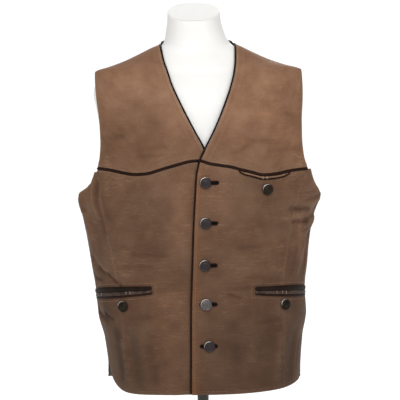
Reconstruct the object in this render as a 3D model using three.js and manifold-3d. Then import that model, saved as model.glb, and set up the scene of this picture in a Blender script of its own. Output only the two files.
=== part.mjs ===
// A leather vest, buttoned on a limbless dress form with a pole and a round base.
// Millimetres, +Z up, the front faces -Y and the wearer's left is +X. The origin is under the base.
import * as THREE from "three";
import { mergeVertices } from "three/addons/utils/BufferGeometryUtils.js";
import Module from "manifold-3d";

const wasm = await Module();
wasm.setup();

// Leather and seams
const WALL = 2; // leather with its lining
const SEAM = 0.15; // each piece stops this far short of a plain seam
const PIPING = 4; // width of the corded edge of the neck and the closing
const PIPING_HEIGHT = 3.6;
const BAND_WIDTH = 5.4; // dark band let into the yoke seam
const BAND_HEIGHT = 3.4;
const BAND_LIFT = -0.6; // the band's middle, from the leather's face
const BAND_START = { left: 2.4, right: -4.6 }; // x beside the piping of the closing edge
const CLEAR = 0.3; // between a piece and the piping or band beside it
const UNDERLAP_DROP = 4.4; // how far the lower front lies inside the upper one
const UNDERLAP_RAMP = [-34, -4]; // from the closing edge, where it goes from none to all of that
const ON_PANEL = 0.5; // pieces that lie on a panel stand this far off it

// Heights of the vest
const HEM = 240;
const ARMPIT = 632;
const SIDE_PANEL_TOP = 673; // where the princess seam meets the armhole
const UNDERLAP_PIPING_START = 695; // the right front's piping ends under the left front
const SHOULDER_POINT = 900; // outer end of the shoulder seam
const NECK_POINT = 958; // neck end of it
const BACK_NECK = 966; // the back neckline stands up round the neck
const VENT_TOP = 300; // the side seams are open below this
const CORNER_RADIUS = 24; // rounded front corner at each side vent

// Mesh steps
const BODY_ROWS = 19;
const TOP_ROWS = 2;
const TOP_STRIP = 14; // least height of the rows between the side piece's top and the yoke seam
const YOKE_ROWS = 11;
const FRONT_COLUMNS = 10;
const SIDE_COLUMNS = 6;
const BACK_NECK_COLUMNS = 5;
const BACK_SHOULDER_COLUMNS = 7;
const BACK_UPPER_ROWS = 14;
const POCKET_STEPS = 10;
const BREAST_STEPS = 12;
const BUTTON_SIDES = 12;
const POLE_SIDES = 20;
const BASE_SIDES = 40;
const SIDE_CROWDING = 1.3; // above 1, columns come closer together towards the side seam
const ROW_CROWDING = 1.5; // the same for rows towards the shoulder seam
const PATH_STEPS = 80;

// Level sections of the worn vest. half is the half width, front and back the depths at the centre,
// shift how far it hangs off the form's middle, chest how flat the front is (1 is an ellipse, less
// is flatter) and side how sharp the fold at the side seam is (1 is an ellipse, more is sharper).
const VEST_SECTIONS = [
  { z: 200, half: 202, front: 127, back: 119, shift: 2.3, chest: 0.8, side: 1.2 },
  { z: 262, half: 203, front: 127, back: 119, shift: 2.3, chest: 0.8, side: 1.2 },
  { z: 333, half: 208.7, front: 127.5, back: 117, shift: 1.3, chest: 0.8, side: 1.22 },
  { z: 384, half: 219.2, front: 128, back: 112, shift: 0, chest: 0.8, side: 1.24 },
  { z: 435, half: 221.5, front: 128, back: 108, shift: -3.4, chest: 0.8, side: 1.26 },
  { z: 486, half: 228, front: 129, back: 109, shift: -4.9, chest: 0.81, side: 1.3 },
  { z: 537, half: 234.3, front: 130, back: 114, shift: -6.2, chest: 0.82, side: 1.35 },
  { z: 588, half: 244, front: 131, back: 118.5, shift: -6, chest: 0.83, side: 1.43 },
  { z: 632, half: 257, front: 132, back: 123, shift: -3, chest: 0.84, side: 1.5 },
  { z: 693, half: 251, front: 130, back: 125, shift: 3.5, chest: 0.85, side: 1.4 },
  { z: 770, half: 234, front: 118, back: 119, shift: 2.8, chest: 0.87, side: 1.2 },
  { z: 838, half: 224, front: 100, back: 105, shift: 0.6, chest: 0.9, side: 1.08 },
  { z: 880, half: 219, front: 86, back: 90, shift: 0, chest: 0.91, side: 1.02 },
  { z: 900, half: 217, front: 79, back: 81, shift: -0.5, chest: 0.91, side: 1 },
  { z: 904, half: 211, front: 78, back: 79, shift: -0.5, chest: 0.91, side: 1 },
  { z: 911, half: 187.5, front: 75, back: 76, shift: -0.5, chest: 0.91, side: 1 },
  { z: 923.5, half: 152, front: 70, back: 70, shift: -0.5, chest: 0.92, side: 1 },
  { z: 936, half: 124.5, front: 65.5, back: 66, shift: -0.5, chest: 0.94, side: 1 },
  { z: 949, half: 98, front: 61, back: 62.5, shift: -0.7, chest: 0.97, side: 1 },
  { z: 958, half: 79, front: 58, back: 60.5, shift: -1, chest: 1, side: 1 },
  { z: 966, half: 71.5, front: 57, back: 59.5, shift: -4, chest: 1, side: 1 },
  { z: 975, half: 69, front: 57, back: 59, shift: -5, chest: 1, side: 1 },
];

// Level sections of the form, from its flat underside to the neck. shift is how far the neck leans
// to the wearer's right, and tilt how far a section slopes up to the back, per millimetre of depth.
const FORM_SECTIONS = [
  { z: 284, half: 149, front: 88, back: 88, side: 1, shift: 0, tilt: 0 },
  { z: 288, half: 158, front: 97, back: 96, side: 1, shift: 0, tilt: 0 },
  { z: 300, half: 164, front: 102, back: 101, side: 1, shift: 0, tilt: 0 },
  { z: 340, half: 167, front: 105, back: 103, side: 1, shift: 0, tilt: 0 },
  { z: 400, half: 161, front: 103, back: 95, side: 1, shift: 0, tilt: 0 },
  { z: 460, half: 156, front: 103, back: 91, side: 1, shift: 0, tilt: 0 },
  { z: 530, half: 162, front: 110, back: 97, side: 1, shift: 0, tilt: 0 },
  { z: 600, half: 173, front: 119, back: 107, side: 1, shift: 0, tilt: 0 },
  { z: 660, half: 183, front: 122.5, back: 114, side: 1, shift: 0, tilt: 0 },
  { z: 700, half: 193, front: 120, back: 117, side: 1, shift: 0, tilt: 0 },
  { z: 740, half: 204, front: 113, back: 115, side: 1.05, shift: 0, tilt: 0 },
  { z: 790, half: 214, front: 103, back: 109, side: 1.15, shift: 0, tilt: 0 },
  { z: 822, half: 219.5, front: 96, back: 102, side: 1.25, shift: 0, tilt: 0 },
  { z: 850, half: 221, front: 88.5, back: 95, side: 1.3, shift: 0, tilt: 0 },
  { z: 874, half: 217, front: 79.5, back: 82, side: 1.25, shift: 0, tilt: 0 },
  { z: 890, half: 210, front: 74.5, back: 75, side: 1.15, shift: 0, tilt: 0 },
  { z: 898.5, half: 203.5, front: 72, back: 72, side: 1.05, shift: 0, tilt: 0 },
  { z: 904.3, half: 195.5, front: 70.5, back: 70, side: 1, shift: 0, tilt: 0 },
  { z: 908.1, half: 187, front: 69, back: 68.5, side: 1, shift: 0, tilt: 0 },
  { z: 920.6, half: 152, front: 64.5, back: 63.5, side: 1, shift: 0, tilt: 0 },
  { z: 933.1, half: 124.2, front: 59.5, back: 58, side: 1, shift: 0, tilt: 0 },
  { z: 945.5, half: 96, front: 56.5, back: 53, side: 1, shift: -0.5, tilt: 0 },
  { z: 954, half: 76, front: 54.5, back: 51, side: 1, shift: -1.5, tilt: 0 },
  { z: 966, half: 65.5, front: 54, back: 50.5, side: 1, shift: -4, tilt: 0.03 },
  { z: 985, half: 60.5, front: 55, back: 51, side: 1, shift: -6, tilt: 0.18 },
  { z: 1004, half: 57, front: 56, back: 52, side: 1, shift: -7, tilt: 0.34 },
  { z: 1023, half: 55.5, front: 56, back: 52, side: 1, shift: -7.5, tilt: 0.48 },
];
const FORM_SIDES = 36;
const FORM_CHEST = 0.88; // flatness of its front and back, as in the vest's sections
const POLE_DIAMETER = 24;
const BASE_DIAMETER = 300;
const BASE_THICKNESS = 9;
const COLLAR_DIAMETER = 44; // clamp collar that the pole stands in
const COLLAR_HEIGHT = 42;
const COLLAR_TAPER = 5; // how much narrower it is at the top, with a small bevel above that
const COLLAR_BEVEL = 2;
const BASE_BEVEL = 2.5;

// Edges of the two fronts, seen from the front: x from the form's middle at each height.
const CLOSING_EDGE = [
  { z: 200, x: -24.8 },
  { z: 243, x: -24.6 },
  { z: 330, x: -23 },
  { z: 407, x: -21.6 },
  { z: 509, x: -17 },
  { z: 583, x: -13.3 },
  { z: 637, x: -9.6 },
  { z: 679, x: -6.5 },
  { z: 695, x: -3.7 },
  { z: 707, x: -1.2 },
  { z: 716, x: 1.6 },
  { z: 733.6, x: 9.5 },
  { z: 765, x: 25.7 },
  { z: 814, x: 47 },
  { z: 863.6, x: 64.5 },
  { z: 889, x: 71.3 },
  { z: 915, x: 75 },
  { z: 958, x: 78 },
];
const UNDERLAP_EDGE = [
  { z: 200, x: 26 },
  { z: 583, x: 28 },
  { z: 650, x: 27 },
  { z: 690, x: 22 },
  { z: 712, x: 13 },
  { z: 733.6, x: 6 },
  { z: 765, x: -8.4 },
  { z: 814, x: -32 },
  { z: 863.6, x: -53.9 },
  { z: 889, x: -62 },
  { z: 915, x: -70.5 },
  { z: 940, x: -76 },
  { z: 958, x: -80 },
];
// Height of the yoke seam on each front, by the distance from the form's middle.
const YOKE_SEAM = [
  { x: -40, left: 708.6, right: 708 },
  { x: 0, left: 708.3, right: 708 },
  { x: 18, left: 702, right: 706.8 },
  { x: 40, left: 698, right: 701.2 },
  { x: 62, left: 694.5, right: 695.5 },
  { x: 84, left: 688.3, right: 689 },
  { x: 106, left: 682.6, right: 683 },
  { x: 130, left: 676.8, right: 681.5 },
  { x: 156, left: 678.5, right: 685 },
  { x: 182, left: 683.5, right: 690.5 },
  { x: 204, left: 686, right: 693.5 },
  { x: 224, left: 687, right: 695 },
];
// Distance of the princess seam from the middle of the vest.
const PRINCESS_SEAM = [
  { z: 200, x: 168 },
  { z: 403, x: 168 },
  { z: 453, x: 169.5 },
  { z: 521, x: 181 },
  { z: 589, x: 195 },
  { z: 640, x: 206 },
  { z: 673, x: 214.5 },
  { z: 700, x: 221 },
];
// Distance of the armhole's front and back edge from the middle of the vest.
const ARMHOLE = [
  { z: 632, front: 257, back: 257 },
  { z: 643, front: 250, back: 250.5 },
  { z: 655, front: 239, back: 241 },
  { z: 668, front: 230.5, back: 233 },
  { z: 681, front: 224, back: 227.5 },
  { z: 693, front: 219.5, back: 223.5 },
  { z: 717, front: 212.5, back: 217 },
  { z: 755, front: 210, back: 214 },
  { z: 780, front: 209.6, back: 213.5 },
  { z: 804, front: 210.6, back: 214 },
  { z: 829, front: 213.2, back: 215 },
  { z: 855, front: 215.4, back: 216.2 },
  { z: 880, front: 216.2, back: 216.6 },
  { z: 904, front: 216.8, back: 216.8 },
  { z: 960, front: 216.8, back: 216.8 },
];

// Largest folds of the worn leather, each a soft ridge or, with a negative depth, a trough from one
// point to another. turn is in degrees round from the centre front, positive to the wearer's left.
const FOLDS = [
  { turn: 88, z: 606, toTurn: 60, toZ: 592, depth: -4, width: 11 },
  { turn: 88, z: 578, toTurn: 64, toZ: 566, depth: 3, width: 11 },
  { turn: 80, z: 545, toTurn: 66, toZ: 468, depth: -4, width: 12 },
  { turn: -66, z: 672, toTurn: -58, toZ: 545, depth: -4, width: 13 },
  { turn: -76, z: 640, toTurn: -70, toZ: 520, depth: 3.5, width: 12 },
  { turn: -74, z: 505, toTurn: -52, toZ: 462, depth: -4.5, width: 11 },
  { turn: -78, z: 394, toTurn: -60, toZ: 382, depth: -3.5, width: 10 },
  { turn: -44, z: 365, toTurn: -38, toZ: 262, depth: -4, width: 16 },
  { turn: 31, z: 350, toTurn: 27, toZ: 262, depth: -3, width: 15 },
  { turn: 60, z: 345, toTurn: 56, toZ: 262, depth: -3.5, width: 13 },
  { turn: 108, z: 600, toTurn: 135, toZ: 560, depth: -4.5, width: 13 },
  { turn: -108, z: 606, toTurn: -132, toZ: 570, depth: -4.5, width: 13 },
  { turn: 150, z: 470, toTurn: 140, toZ: 300, depth: -5, width: 17 },
  { turn: -152, z: 480, toTurn: -140, toZ: 290, depth: -5, width: 17 },
  { turn: 178, z: 430, toTurn: 172, toZ: 262, depth: 4.5, width: 19 },
  { turn: 114, z: 420, toTurn: 140, toZ: 446, depth: -4, width: 12 },
  { turn: -112, z: 404, toTurn: -138, toZ: 436, depth: -4, width: 12 },
];
const FOLD_FADE = 0.4; // share of its depth that a fold loses towards its second point
const FOLD_GIRTH = 3; // millimetres round the chest for a degree of turn
const SIDE_GIRTH = 1.7; // the same beside the side seams
const VENT_FLARE = 5; // how far each lower corner of the back stands out at its vent
const FLARE_SPAN = 24; // degrees of turn over which it does

// Buttons: a row for each front button from the top, with the middle of its buttonhole.
const BUTTON_DIAMETER = 23;
const BUTTON_THICKNESS = 3.2;
const BUTTON_RIM = 1.6;
const BUTTON_BACK = 1; // how much smaller its underside is, all round
const SHANK_DIAMETER = 3;
const BUTTON_STANDOFF = 2.4; // underside of a button above the leather
const FRONT_BUTTONS = [
  { z: 663, x: 11.8, holeX: 20.5 },
  { z: 582, x: 10.8, holeX: 17.5 },
  { z: 497, x: 8, holeX: 15 },
  { z: 418, x: 9.2, holeX: 13.8 },
  { z: 333, x: 14.6, holeX: 13.4 },
];
const HOLE_LENGTH = 32;
const HOLE_SLIT = 3.8;
const HOLE_RIM = 2.2; // width of the bound edge round the slit
const HOLE_RIM_HEIGHT = 1;
const SLIT_CUT = 12; // depth of the cutting solid, half of it on each side of the leather's face
const POCKET_BUTTONS = [
  { name: "pocket_button_breast", x: 136, z: 647.5 },
  { name: "pocket_button_left", x: 171, z: 410.5 },
  { name: "pocket_button_right", x: -160, z: 413.5 },
];

// Lower pockets: two dark welts each, from the inner end round to beside the side seam
const LOWER_POCKETS = [
  { side: "left", x: 108, z: 442.5, turn: 80, toZ: 436 },
  { side: "right", x: -99, z: 447, turn: -80, toZ: 434 },
];
const POCKET_INNER = 14.5; // height of both welts together at the inner end
const POCKET_SPREAD = 5; // how much higher they are at the outer end, and again in the middle
const UPPER_SHARE = 0.44; // of that height
const WELT_SLIT = 1;
const WELT_BULGE = 3;

// Breast pocket, under the left yoke seam: a brown welt over a thin dark piping
const BREAST_START = 80;
const BREAST_END = 182.5;
const BREAST_DROP = 8.8; // the piping's middle below the seam
const BREAST_RISE = 3.9; // how much closer it comes at the ends
const BREAST_PIPING = 2.8;
const BREAST_WELT_DROP = 5.2;
const BREAST_WELT = 2.8;
const BREAST_WELT_HEIGHT = 2;
const BREAST_WELT_INSET = 9; // it stops this far short of the piping's two ends

const LEATHER = new THREE.MeshStandardMaterial({ color: 0x7a5a43, roughness: 0.8 });
const TRIM_LEATHER = new THREE.MeshStandardMaterial({ color: 0x23140f, roughness: 0.45 });
const BUTTON_METAL = new THREE.MeshStandardMaterial({ color: 0x6a6663, roughness: 0.4, metalness: 1 });
const FORM_WHITE = new THREE.MeshStandardMaterial({ color: 0xeeeeec, roughness: 0.4 });
const STAND_BLACK = new THREE.MeshStandardMaterial({ color: 0x111111, roughness: 0.5 });

const SIDE_SEAM = Math.PI / 2;
const lerp = THREE.MathUtils.lerp;
const smoothstep = THREE.MathUtils.smoothstep;
const steps = (n) => Array.from({ length: n + 1 }, (_, i) => i / n);

// Monotone cubic curve of a table's column over its key column.
function curveOf(table, column, key = "z") {
  const at = table.map((row) => row[key]);
  const value = table.map((row) => row[column]);
  const secant = at.slice(1).map((a, i) => (value[i + 1] - value[i]) / (a - at[i]));
  const slope = at.map((_, i) => {
    const before = secant[Math.max(i - 1, 0)];
    const after = secant[Math.min(i, secant.length - 1)];
    return before * after <= 0 ? 0 : (2 * before * after) / (before + after);
  });
  return (x) => {
    let i = 0;
    while (i < secant.length - 1 && x > at[i + 1]) i++;
    const span = at[i + 1] - at[i];
    const t = THREE.MathUtils.clamp((x - at[i]) / span, 0, 1);
    const rest = 1 - t;
    return (
      value[i] * (1 + 2 * t) * rest * rest +
      slope[i] * span * t * rest * rest +
      value[i + 1] * (3 - 2 * t) * t * t -
      slope[i + 1] * span * t * t * rest
    );
  };
}

// Height or turn at which a rising function of one number passes zero.
function solve(f, low, high) {
  let a = low;
  let b = high;
  for (let i = 0; i < 40; i++) {
    const middle = (a + b) / 2;
    if (f(middle) < 0) a = middle;
    else b = middle;
  }
  return (a + b) / 2;
}

const section = Object.fromEntries(
  ["half", "front", "back", "shift", "chest", "side"].map((key) => [key, curveOf(VEST_SECTIONS, key)]),
);
const closingEdge = curveOf(CLOSING_EDGE, "x");
const underlapEdge = curveOf(UNDERLAP_EDGE, "x");
const yokeSeam = { left: curveOf(YOKE_SEAM, "left", "x"), right: curveOf(YOKE_SEAM, "right", "x") };
const princessSeam = curveOf(PRINCESS_SEAM, "x");
const armhole = { front: curveOf(ARMHOLE, "front"), back: curveOf(ARMHOLE, "back") };

// Point of a level section, without folds. turn is 0 at the centre front and grows to the wearer's left.
function sectionPoint(turn, z) {
  const s = Math.sin(turn);
  const c = Math.cos(turn);
  const depth = c >= 0 ? -section.front(z) : section.back(z);
  return new THREE.Vector3(
    section.shift(z) + Math.sign(s) * section.half(z) * Math.abs(s) ** section.chest(z),
    depth * Math.abs(c) ** section.side(z),
    z,
  );
}

// Height of the folds at a point, outwards.
function foldHeight(turn, z) {
  const degrees = turn * THREE.MathUtils.RAD2DEG;
  let height = 0;
  for (const fold of FOLDS) {
    const alongU = (fold.toTurn - fold.turn) * FOLD_GIRTH;
    const alongZ = fold.toZ - fold.z;
    const u = (THREE.MathUtils.euclideanModulo(degrees - fold.turn + 180, 360) - 180) * FOLD_GIRTH;
    const w = z - fold.z;
    const t = (u * alongU + w * alongZ) / (alongU * alongU + alongZ * alongZ);
    const on = THREE.MathUtils.clamp(t, 0, 1);
    const off = Math.hypot(u - on * alongU, w - on * alongZ) / fold.width;
    height += fold.depth * Math.exp(-off * off) * (1 - FOLD_FADE * on);
  }
  return height;
}

// The back's lower corners stand away from the fronts at the open vents.
function ventFlare(turn, z) {
  const past = Math.abs(turn * THREE.MathUtils.RAD2DEG - 180);
  const corner = smoothstep(past, 90 - FLARE_SPAN, 90);
  return VENT_FLARE * corner * smoothstep(VENT_TOP - z, 0, VENT_TOP - HEM);
}

function outward(point, turn, z) {
  const stepTurn = 0.03;
  const stepZ = 1.5;
  const round = point(turn + stepTurn, z).sub(point(turn - stepTurn, z));
  const up = point(turn, z + stepZ).sub(point(turn, z - stepZ));
  return round.cross(up).normalize();
}

function foldedPoint(turn, z) {
  const height = foldHeight(turn, z);
  const point = sectionPoint(turn, z);
  return height === 0 ? point : point.addScaledVector(outward(sectionPoint, turn, z), height);
}

// Point of the vest's outer face, moved out by lift.
function onVest(turn, z, lift = 0) {
  return foldedPoint(turn, z).addScaledVector(outward(foldedPoint, turn, z), lift);
}

// Turn, from -90 to 90 degrees, at which the section of height z has this x.
function turnAt(x, z) {
  const off = x - section.shift(z);
  const share = Math.min(Math.abs(off) / section.half(z), 1);
  return Math.sign(off) * Math.asin(share ** (1 / section.chest(z)));
}

// The right front dips under the left one from here on towards its edge.
function underlapLift(turn, z) {
  const x = sectionPoint(turn, z).x;
  const into = x - closingEdge(z);
  return -UNDERLAP_DROP * smoothstep(into, ...UNDERLAP_RAMP);
}

function geometryOf(positions, faces) {
  const geometry = new THREE.BufferGeometry();
  const numbers = positions.flatMap((p) => p.toArray());
  geometry.setAttribute("position", new THREE.Float32BufferAttribute(numbers, 3));
  geometry.setIndex(faces.flat());
  geometry.computeVertexNormals();
  return geometry;
}

// Pulls an edge row of points back towards the row beside it: square to the edge, and at its two
// ends along the neighbouring edges.
function pullIn(edge, beside, distance) {
  const last = edge.length - 1;
  const moves = edge.map((point, i) => {
    const tangent = edge[Math.min(i + 1, last)].clone().sub(edge[Math.max(i - 1, 0)]).normalize();
    const towards = beside[i].clone().sub(point);
    const square = towards.clone().addScaledVector(tangent, -towards.dot(tangent));
    const way = i === 0 || i === last ? towards : square;
    return way.multiplyScalar(distance / square.length());
  });
  edge.forEach((point, i) => point.add(moves[i]));
}

// Trims a grid of points at its bottom and top row and its first and last column.
function trim(grid, { bottom = 0, top = 0, first = 0, last = 0 }) {
  const end = grid.length - 1;
  const width = grid[0].length - 1;
  const column = (j) => grid.map((row) => row[j]);
  pullIn(grid[0], grid[1], bottom);
  pullIn(grid[end], grid[end - 1], top);
  pullIn(column(0), column(1), first);
  pullIn(column(width), column(width - 1), last);
}

// Closed wall between an outer and an inner grid of points.
function wallGeometry(outer, inner) {
  const rows = outer.length;
  const columns = outer[0].length;
  const out = (i, j) => i * columns + j;
  const into = (i, j) => rows * columns + out(i, j);
  const faces = [];
  const quad = (a, b, c, d) => faces.push([a, b, c], [a, c, d]);
  for (let i = 0; i < rows - 1; i++) {
    for (let j = 0; j < columns - 1; j++) {
      quad(out(i, j), out(i, j + 1), out(i + 1, j + 1), out(i + 1, j));
      quad(into(i, j), into(i + 1, j), into(i + 1, j + 1), into(i, j + 1));
    }
  }
  for (let j = 0; j < columns - 1; j++) {
    quad(out(0, j), into(0, j), into(0, j + 1), out(0, j + 1));
    quad(out(rows - 1, j), out(rows - 1, j + 1), into(rows - 1, j + 1), into(rows - 1, j));
  }
  for (let i = 0; i < rows - 1; i++) {
    quad(out(i, 0), out(i + 1, 0), into(i + 1, 0), into(i, 0));
    quad(out(i, columns - 1), into(i, columns - 1), into(i + 1, columns - 1), out(i + 1, columns - 1));
  }
  return geometryOf([...outer.flat(), ...inner.flat()], faces);
}

// Leather panel from rows of places on the vest. They run upwards and to the wearer's left.
function panel(name, places, edges, lift = () => 0) {
  const face = (depth) => {
    const grid = places.map((row) => row.map(([turn, z]) => onVest(turn, z, lift(turn, z) - depth)));
    trim(grid, edges);
    return grid;
  };
  return named(name, facingOut(wallGeometry(face(0), face(WALL))), LEATHER);
}

function named(name, geometry, material) {
  const mesh = new THREE.Mesh(geometry, material);
  mesh.name = name;
  return mesh;
}

// Signed volume decides whether the faces have to be turned round.
function facingOut(geometry) {
  const position = geometry.getAttribute("position");
  const index = geometry.getIndex().array;
  const corner = (i) => new THREE.Vector3().fromBufferAttribute(position, index[i]);
  let volume = 0;
  for (let i = 0; i < index.length; i += 3) volume += corner(i).dot(corner(i + 1).cross(corner(i + 2)));
  if (volume < 0) {
    for (let i = 0; i < index.length; i += 3) [index[i + 1], index[i + 2]] = [index[i + 2], index[i + 1]];
  }
  geometry.computeVertexNormals();
  return geometry;
}

// Closed tube through rings of points, each ring with the same count.
function tubeGeometry(rings) {
  const count = rings[0].length;
  const faces = [];
  for (let i = 0; i < rings.length - 1; i++) {
    for (let k = 0; k < count; k++) {
      const a = i * count + k;
      const b = i * count + ((k + 1) % count);
      faces.push([a, b, b + count], [a, b + count, a + count]);
    }
  }
  const last = (rings.length - 1) * count;
  for (let k = 1; k < count - 1; k++) {
    faces.push([0, k + 1, k], [last, last + k, last + k + 1]);
  }
  return facingOut(geometryOf(rings.flat(), faces));
}

// Strip of an oval section along places on the vest. Its width lies in the leather's face, a number
// or a function of the share of the way along, and its height stands out of it.
function strip(name, places, { width, height, lift, sides = 6, shorten = 0, material = TRIM_LEATHER }) {
  const widthAt = typeof width === "function" ? width : () => width;
  const centres = places.map(([turn, z, drop = 0]) => onVest(turn, z, lift + drop));
  const last = centres.length - 1;
  const along = centres.map((_, i) =>
    centres[Math.min(i + 1, last)].clone().sub(centres[Math.max(i - 1, 0)]).normalize(),
  );
  centres[0].addScaledVector(along[0], shorten);
  centres[last].addScaledVector(along[last], -shorten);
  const rings = centres.map((centre, i) => {
    const [turn, z] = places[i];
    const across = along[i].clone().cross(outward(foldedPoint, turn, z)).normalize();
    const up = across.clone().cross(along[i]);
    const half = widthAt(i / last) / 2;
    return Array.from({ length: sides }, (_, k) => {
      const angle = (2 * Math.PI * (k + 0.5)) / sides;
      return centre
        .clone()
        .addScaledVector(across, half * Math.cos(angle))
        .addScaledVector(up, (height / 2) * Math.sin(angle));
    });
  });
  return named(name, tubeGeometry(rings), material);
}

function indexed(geometry) {
  geometry.deleteAttribute("normal");
  geometry.deleteAttribute("uv");
  return mergeVertices(geometry, 1e-4);
}

function solidOf(geometry) {
  const merged = indexed(geometry.clone());
  return new wasm.Manifold(
    new wasm.Mesh({
      numProp: 3,
      vertProperties: merged.getAttribute("position").array,
      triVerts: new Uint32Array(merged.getIndex().array),
    }),
  );
}

function geometryFrom(solid) {
  const mesh = solid.getMesh();
  const geometry = new THREE.BufferGeometry();
  const numbers = new Float32Array(mesh.vertProperties);
  geometry.setAttribute("position", new THREE.BufferAttribute(numbers, 3));
  geometry.setIndex(new THREE.BufferAttribute(new Uint32Array(mesh.triVerts), 1));
  geometry.computeVertexNormals();
  return geometry;
}

const signOf = (side) => (side === "left" ? 1 : -1);
const frontEdge = { left: closingEdge, right: underlapEdge };
const princessTurn = (z) => turnAt(section.shift(z) + princessSeam(z), z);
const armholeTurn = (z, face) => turnAt(section.shift(z) + armhole[face](z), z);
const transposed = (columns) => columns[0].map((_, i) => columns.map((column) => column[i]));

// Columns of a right-hand piece are laid out from the middle, so they are turned round.
const leftwards = (side, places) => (side === "left" ? places : places.map((row) => row.toReversed()));

// Turn on a front piece at the share of the way from the front edge to the princess seam or armhole.
function frontTurn(side, share, z) {
  const outer = signOf(side) * Math.min(princessTurn(z), armholeTurn(z, "front"));
  return lerp(turnAt(frontEdge[side](z), z), outer, share);
}

// Place on the yoke seam at that share.
function yokeSeamPlace(side, share) {
  let z = SIDE_PANEL_TOP;
  for (let i = 0; i < 12; i++) {
    z = yokeSeam[side](signOf(side) * sectionPoint(frontTurn(side, share, z), z).x);
  }
  return [frontTurn(side, share, z), z];
}

function frontCentrePlaces(side) {
  const columns = steps(FRONT_COLUMNS).map((u) => {
    const [, top] = yokeSeamPlace(side, u);
    const bodyTop = Math.min(SIDE_PANEL_TOP, top - TOP_STRIP);
    const heights = [
      ...steps(BODY_ROWS).map((v) => lerp(HEM, bodyTop, v)),
      ...steps(TOP_ROWS)
        .slice(1)
        .map((v) => lerp(bodyTop, top, v)),
    ];
    return heights.map((z) => [frontTurn(side, u, z), z]);
  });
  return transposed(columns);
}

// Rise of the hem in the front's rounded corner beside the vent.
function cornerRise(turn, z) {
  const off = (SIDE_SEAM - Math.abs(turn)) * THREE.MathUtils.RAD2DEG * SIDE_GIRTH;
  const reach = Math.max(CORNER_RADIUS - off, 0);
  const rise = CORNER_RADIUS - Math.sqrt(CORNER_RADIUS ** 2 - reach ** 2);
  return rise * (1 - smoothstep(z, HEM, VENT_TOP));
}

function frontSidePlaces(side) {
  const columns = steps(SIDE_COLUMNS).map((u) => {
    const share = 1 - (1 - u) ** SIDE_CROWDING;
    const turnOn = (z) => lerp(princessTurn(z), SIDE_SEAM, share);
    const pastArmhole = (z) => turnOn(z) - armholeTurn(z, "front");
    const top = u === 0 ? SIDE_PANEL_TOP : solve(pastArmhole, ARMPIT, SIDE_PANEL_TOP + TOP_STRIP);
    return steps(BODY_ROWS).map((v) => {
      const z = lerp(HEM, top, v);
      const turn = turnOn(z);
      return [signOf(side) * turn, z + cornerRise(turn, z)];
    });
  });
  return transposed(columns);
}

// Places along a path from t = 0 to 1, closer together towards its end.
function placesAlong(path, count) {
  const fine = steps(PATH_STEPS).map(path);
  const points = fine.map(([turn, z]) => sectionPoint(turn, z));
  const reach = [0];
  for (let i = 1; i < points.length; i++) reach.push(reach[i - 1] + points[i].distanceTo(points[i - 1]));
  const total = reach[reach.length - 1];
  return steps(count).map((v) => {
    const target = total * (1 - (1 - v) ** ROW_CROWDING);
    const after = reach.findIndex((r) => r >= target - 1e-9);
    if (after === 0) return fine[0];
    const t = (target - reach[after - 1]) / (reach[after] - reach[after - 1]);
    return [0, 1].map((k) => lerp(fine[after - 1][k], fine[after][k], t));
  });
}

// Height at which a column, given by its x at each height, meets the shoulder seam.
const ridgeHeight = (xAt, low) =>
  solve((z) => Math.abs(xAt(z) - section.shift(z)) - section.half(z), low, NECK_POINT);

function yokePlaces(side) {
  const sign = signOf(side);
  const edge = frontEdge[side];
  const outerX = (z) => section.shift(z) + sign * armhole.front(z);
  const columns = steps(FRONT_COLUMNS).map((u) => {
    const [turn, low] = yokeSeamPlace(side, u);
    const start = (sectionPoint(turn, low).x - edge(low)) / (outerX(low) - edge(low));
    const xAt = (z) => lerp(edge(z), outerX(z), lerp(start, u, smoothstep(z, low, SHOULDER_POINT)));
    const ridge = ridgeHeight(xAt, low);
    return placesAlong((t) => {
      const z = lerp(low, ridge, 1 - (1 - t) ** 2);
      return t === 1 ? [sign * SIDE_SEAM, ridge] : [turnAt(xAt(z), z), z];
    }, YOKE_ROWS);
  });
  return transposed(columns);
}

// Columns of one half of the back, from the centre to the side seam and armhole. inset is how far
// the neck edge stops short of the neckline.
function backColumns(sign, inset) {
  const neckShare = (section.half(NECK_POINT) + inset) / armhole.back(NECK_POINT);
  const shares = [
    ...steps(BACK_NECK_COLUMNS).map((t) => neckShare * Math.sin((t * Math.PI) / 2)),
    ...steps(BACK_SHOULDER_COLUMNS)
      .slice(1)
      .map((t) => lerp(neckShare, 1, t)),
  ];
  const atShare = (share) => (z) => section.shift(z) + share * armhole.back(z);
  const neckPoint = ridgeHeight(atShare(neckShare), ARMPIT);
  return shares.map((share) => {
    const onNeck = share < neckShare - 1e-6;
    const neckHeight = lerp(BACK_NECK - inset, neckPoint, (share / neckShare) ** 3);
    const top = onNeck ? neckHeight : ridgeHeight(atShare(share), ARMPIT);
    return backColumn(sign, atShare(share), top, onNeck);
  });
}

function backColumn(sign, xAt, top, onNeck) {
  const behind = (turn) => sign * (Math.PI - turn);
  const outerTurn = (z) => (z <= ARMPIT ? SIDE_SEAM : armholeTurn(z, "back"));
  const split = SIDE_PANEL_TOP;
  const turnShare = turnAt(xAt(split), split) / outerTurn(split);
  const turnOn = (z) => (z <= split ? turnShare * outerTurn(z) : turnAt(xAt(z), z));
  const lower = steps(BODY_ROWS).map((v) => {
    const z = lerp(HEM, ARMPIT, v);
    return [behind(turnOn(z)), z];
  });
  const upper = placesAlong((t) => {
    const z = lerp(ARMPIT, top, 1 - (1 - t) ** 2);
    return t === 1 && !onNeck ? [behind(SIDE_SEAM), top] : [behind(turnOn(z)), z];
  }, BACK_UPPER_ROWS);
  return [...lower, ...upper.slice(1)];
}

function backPlaces(inset) {
  const left = backColumns(1, inset).reverse();
  const right = backColumns(-1, inset).slice(1);
  const onward = right.map((column) => column.map(([turn, z]) => [turn + 2 * Math.PI, z]));
  return transposed([...left, ...onward]);
}

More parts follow.
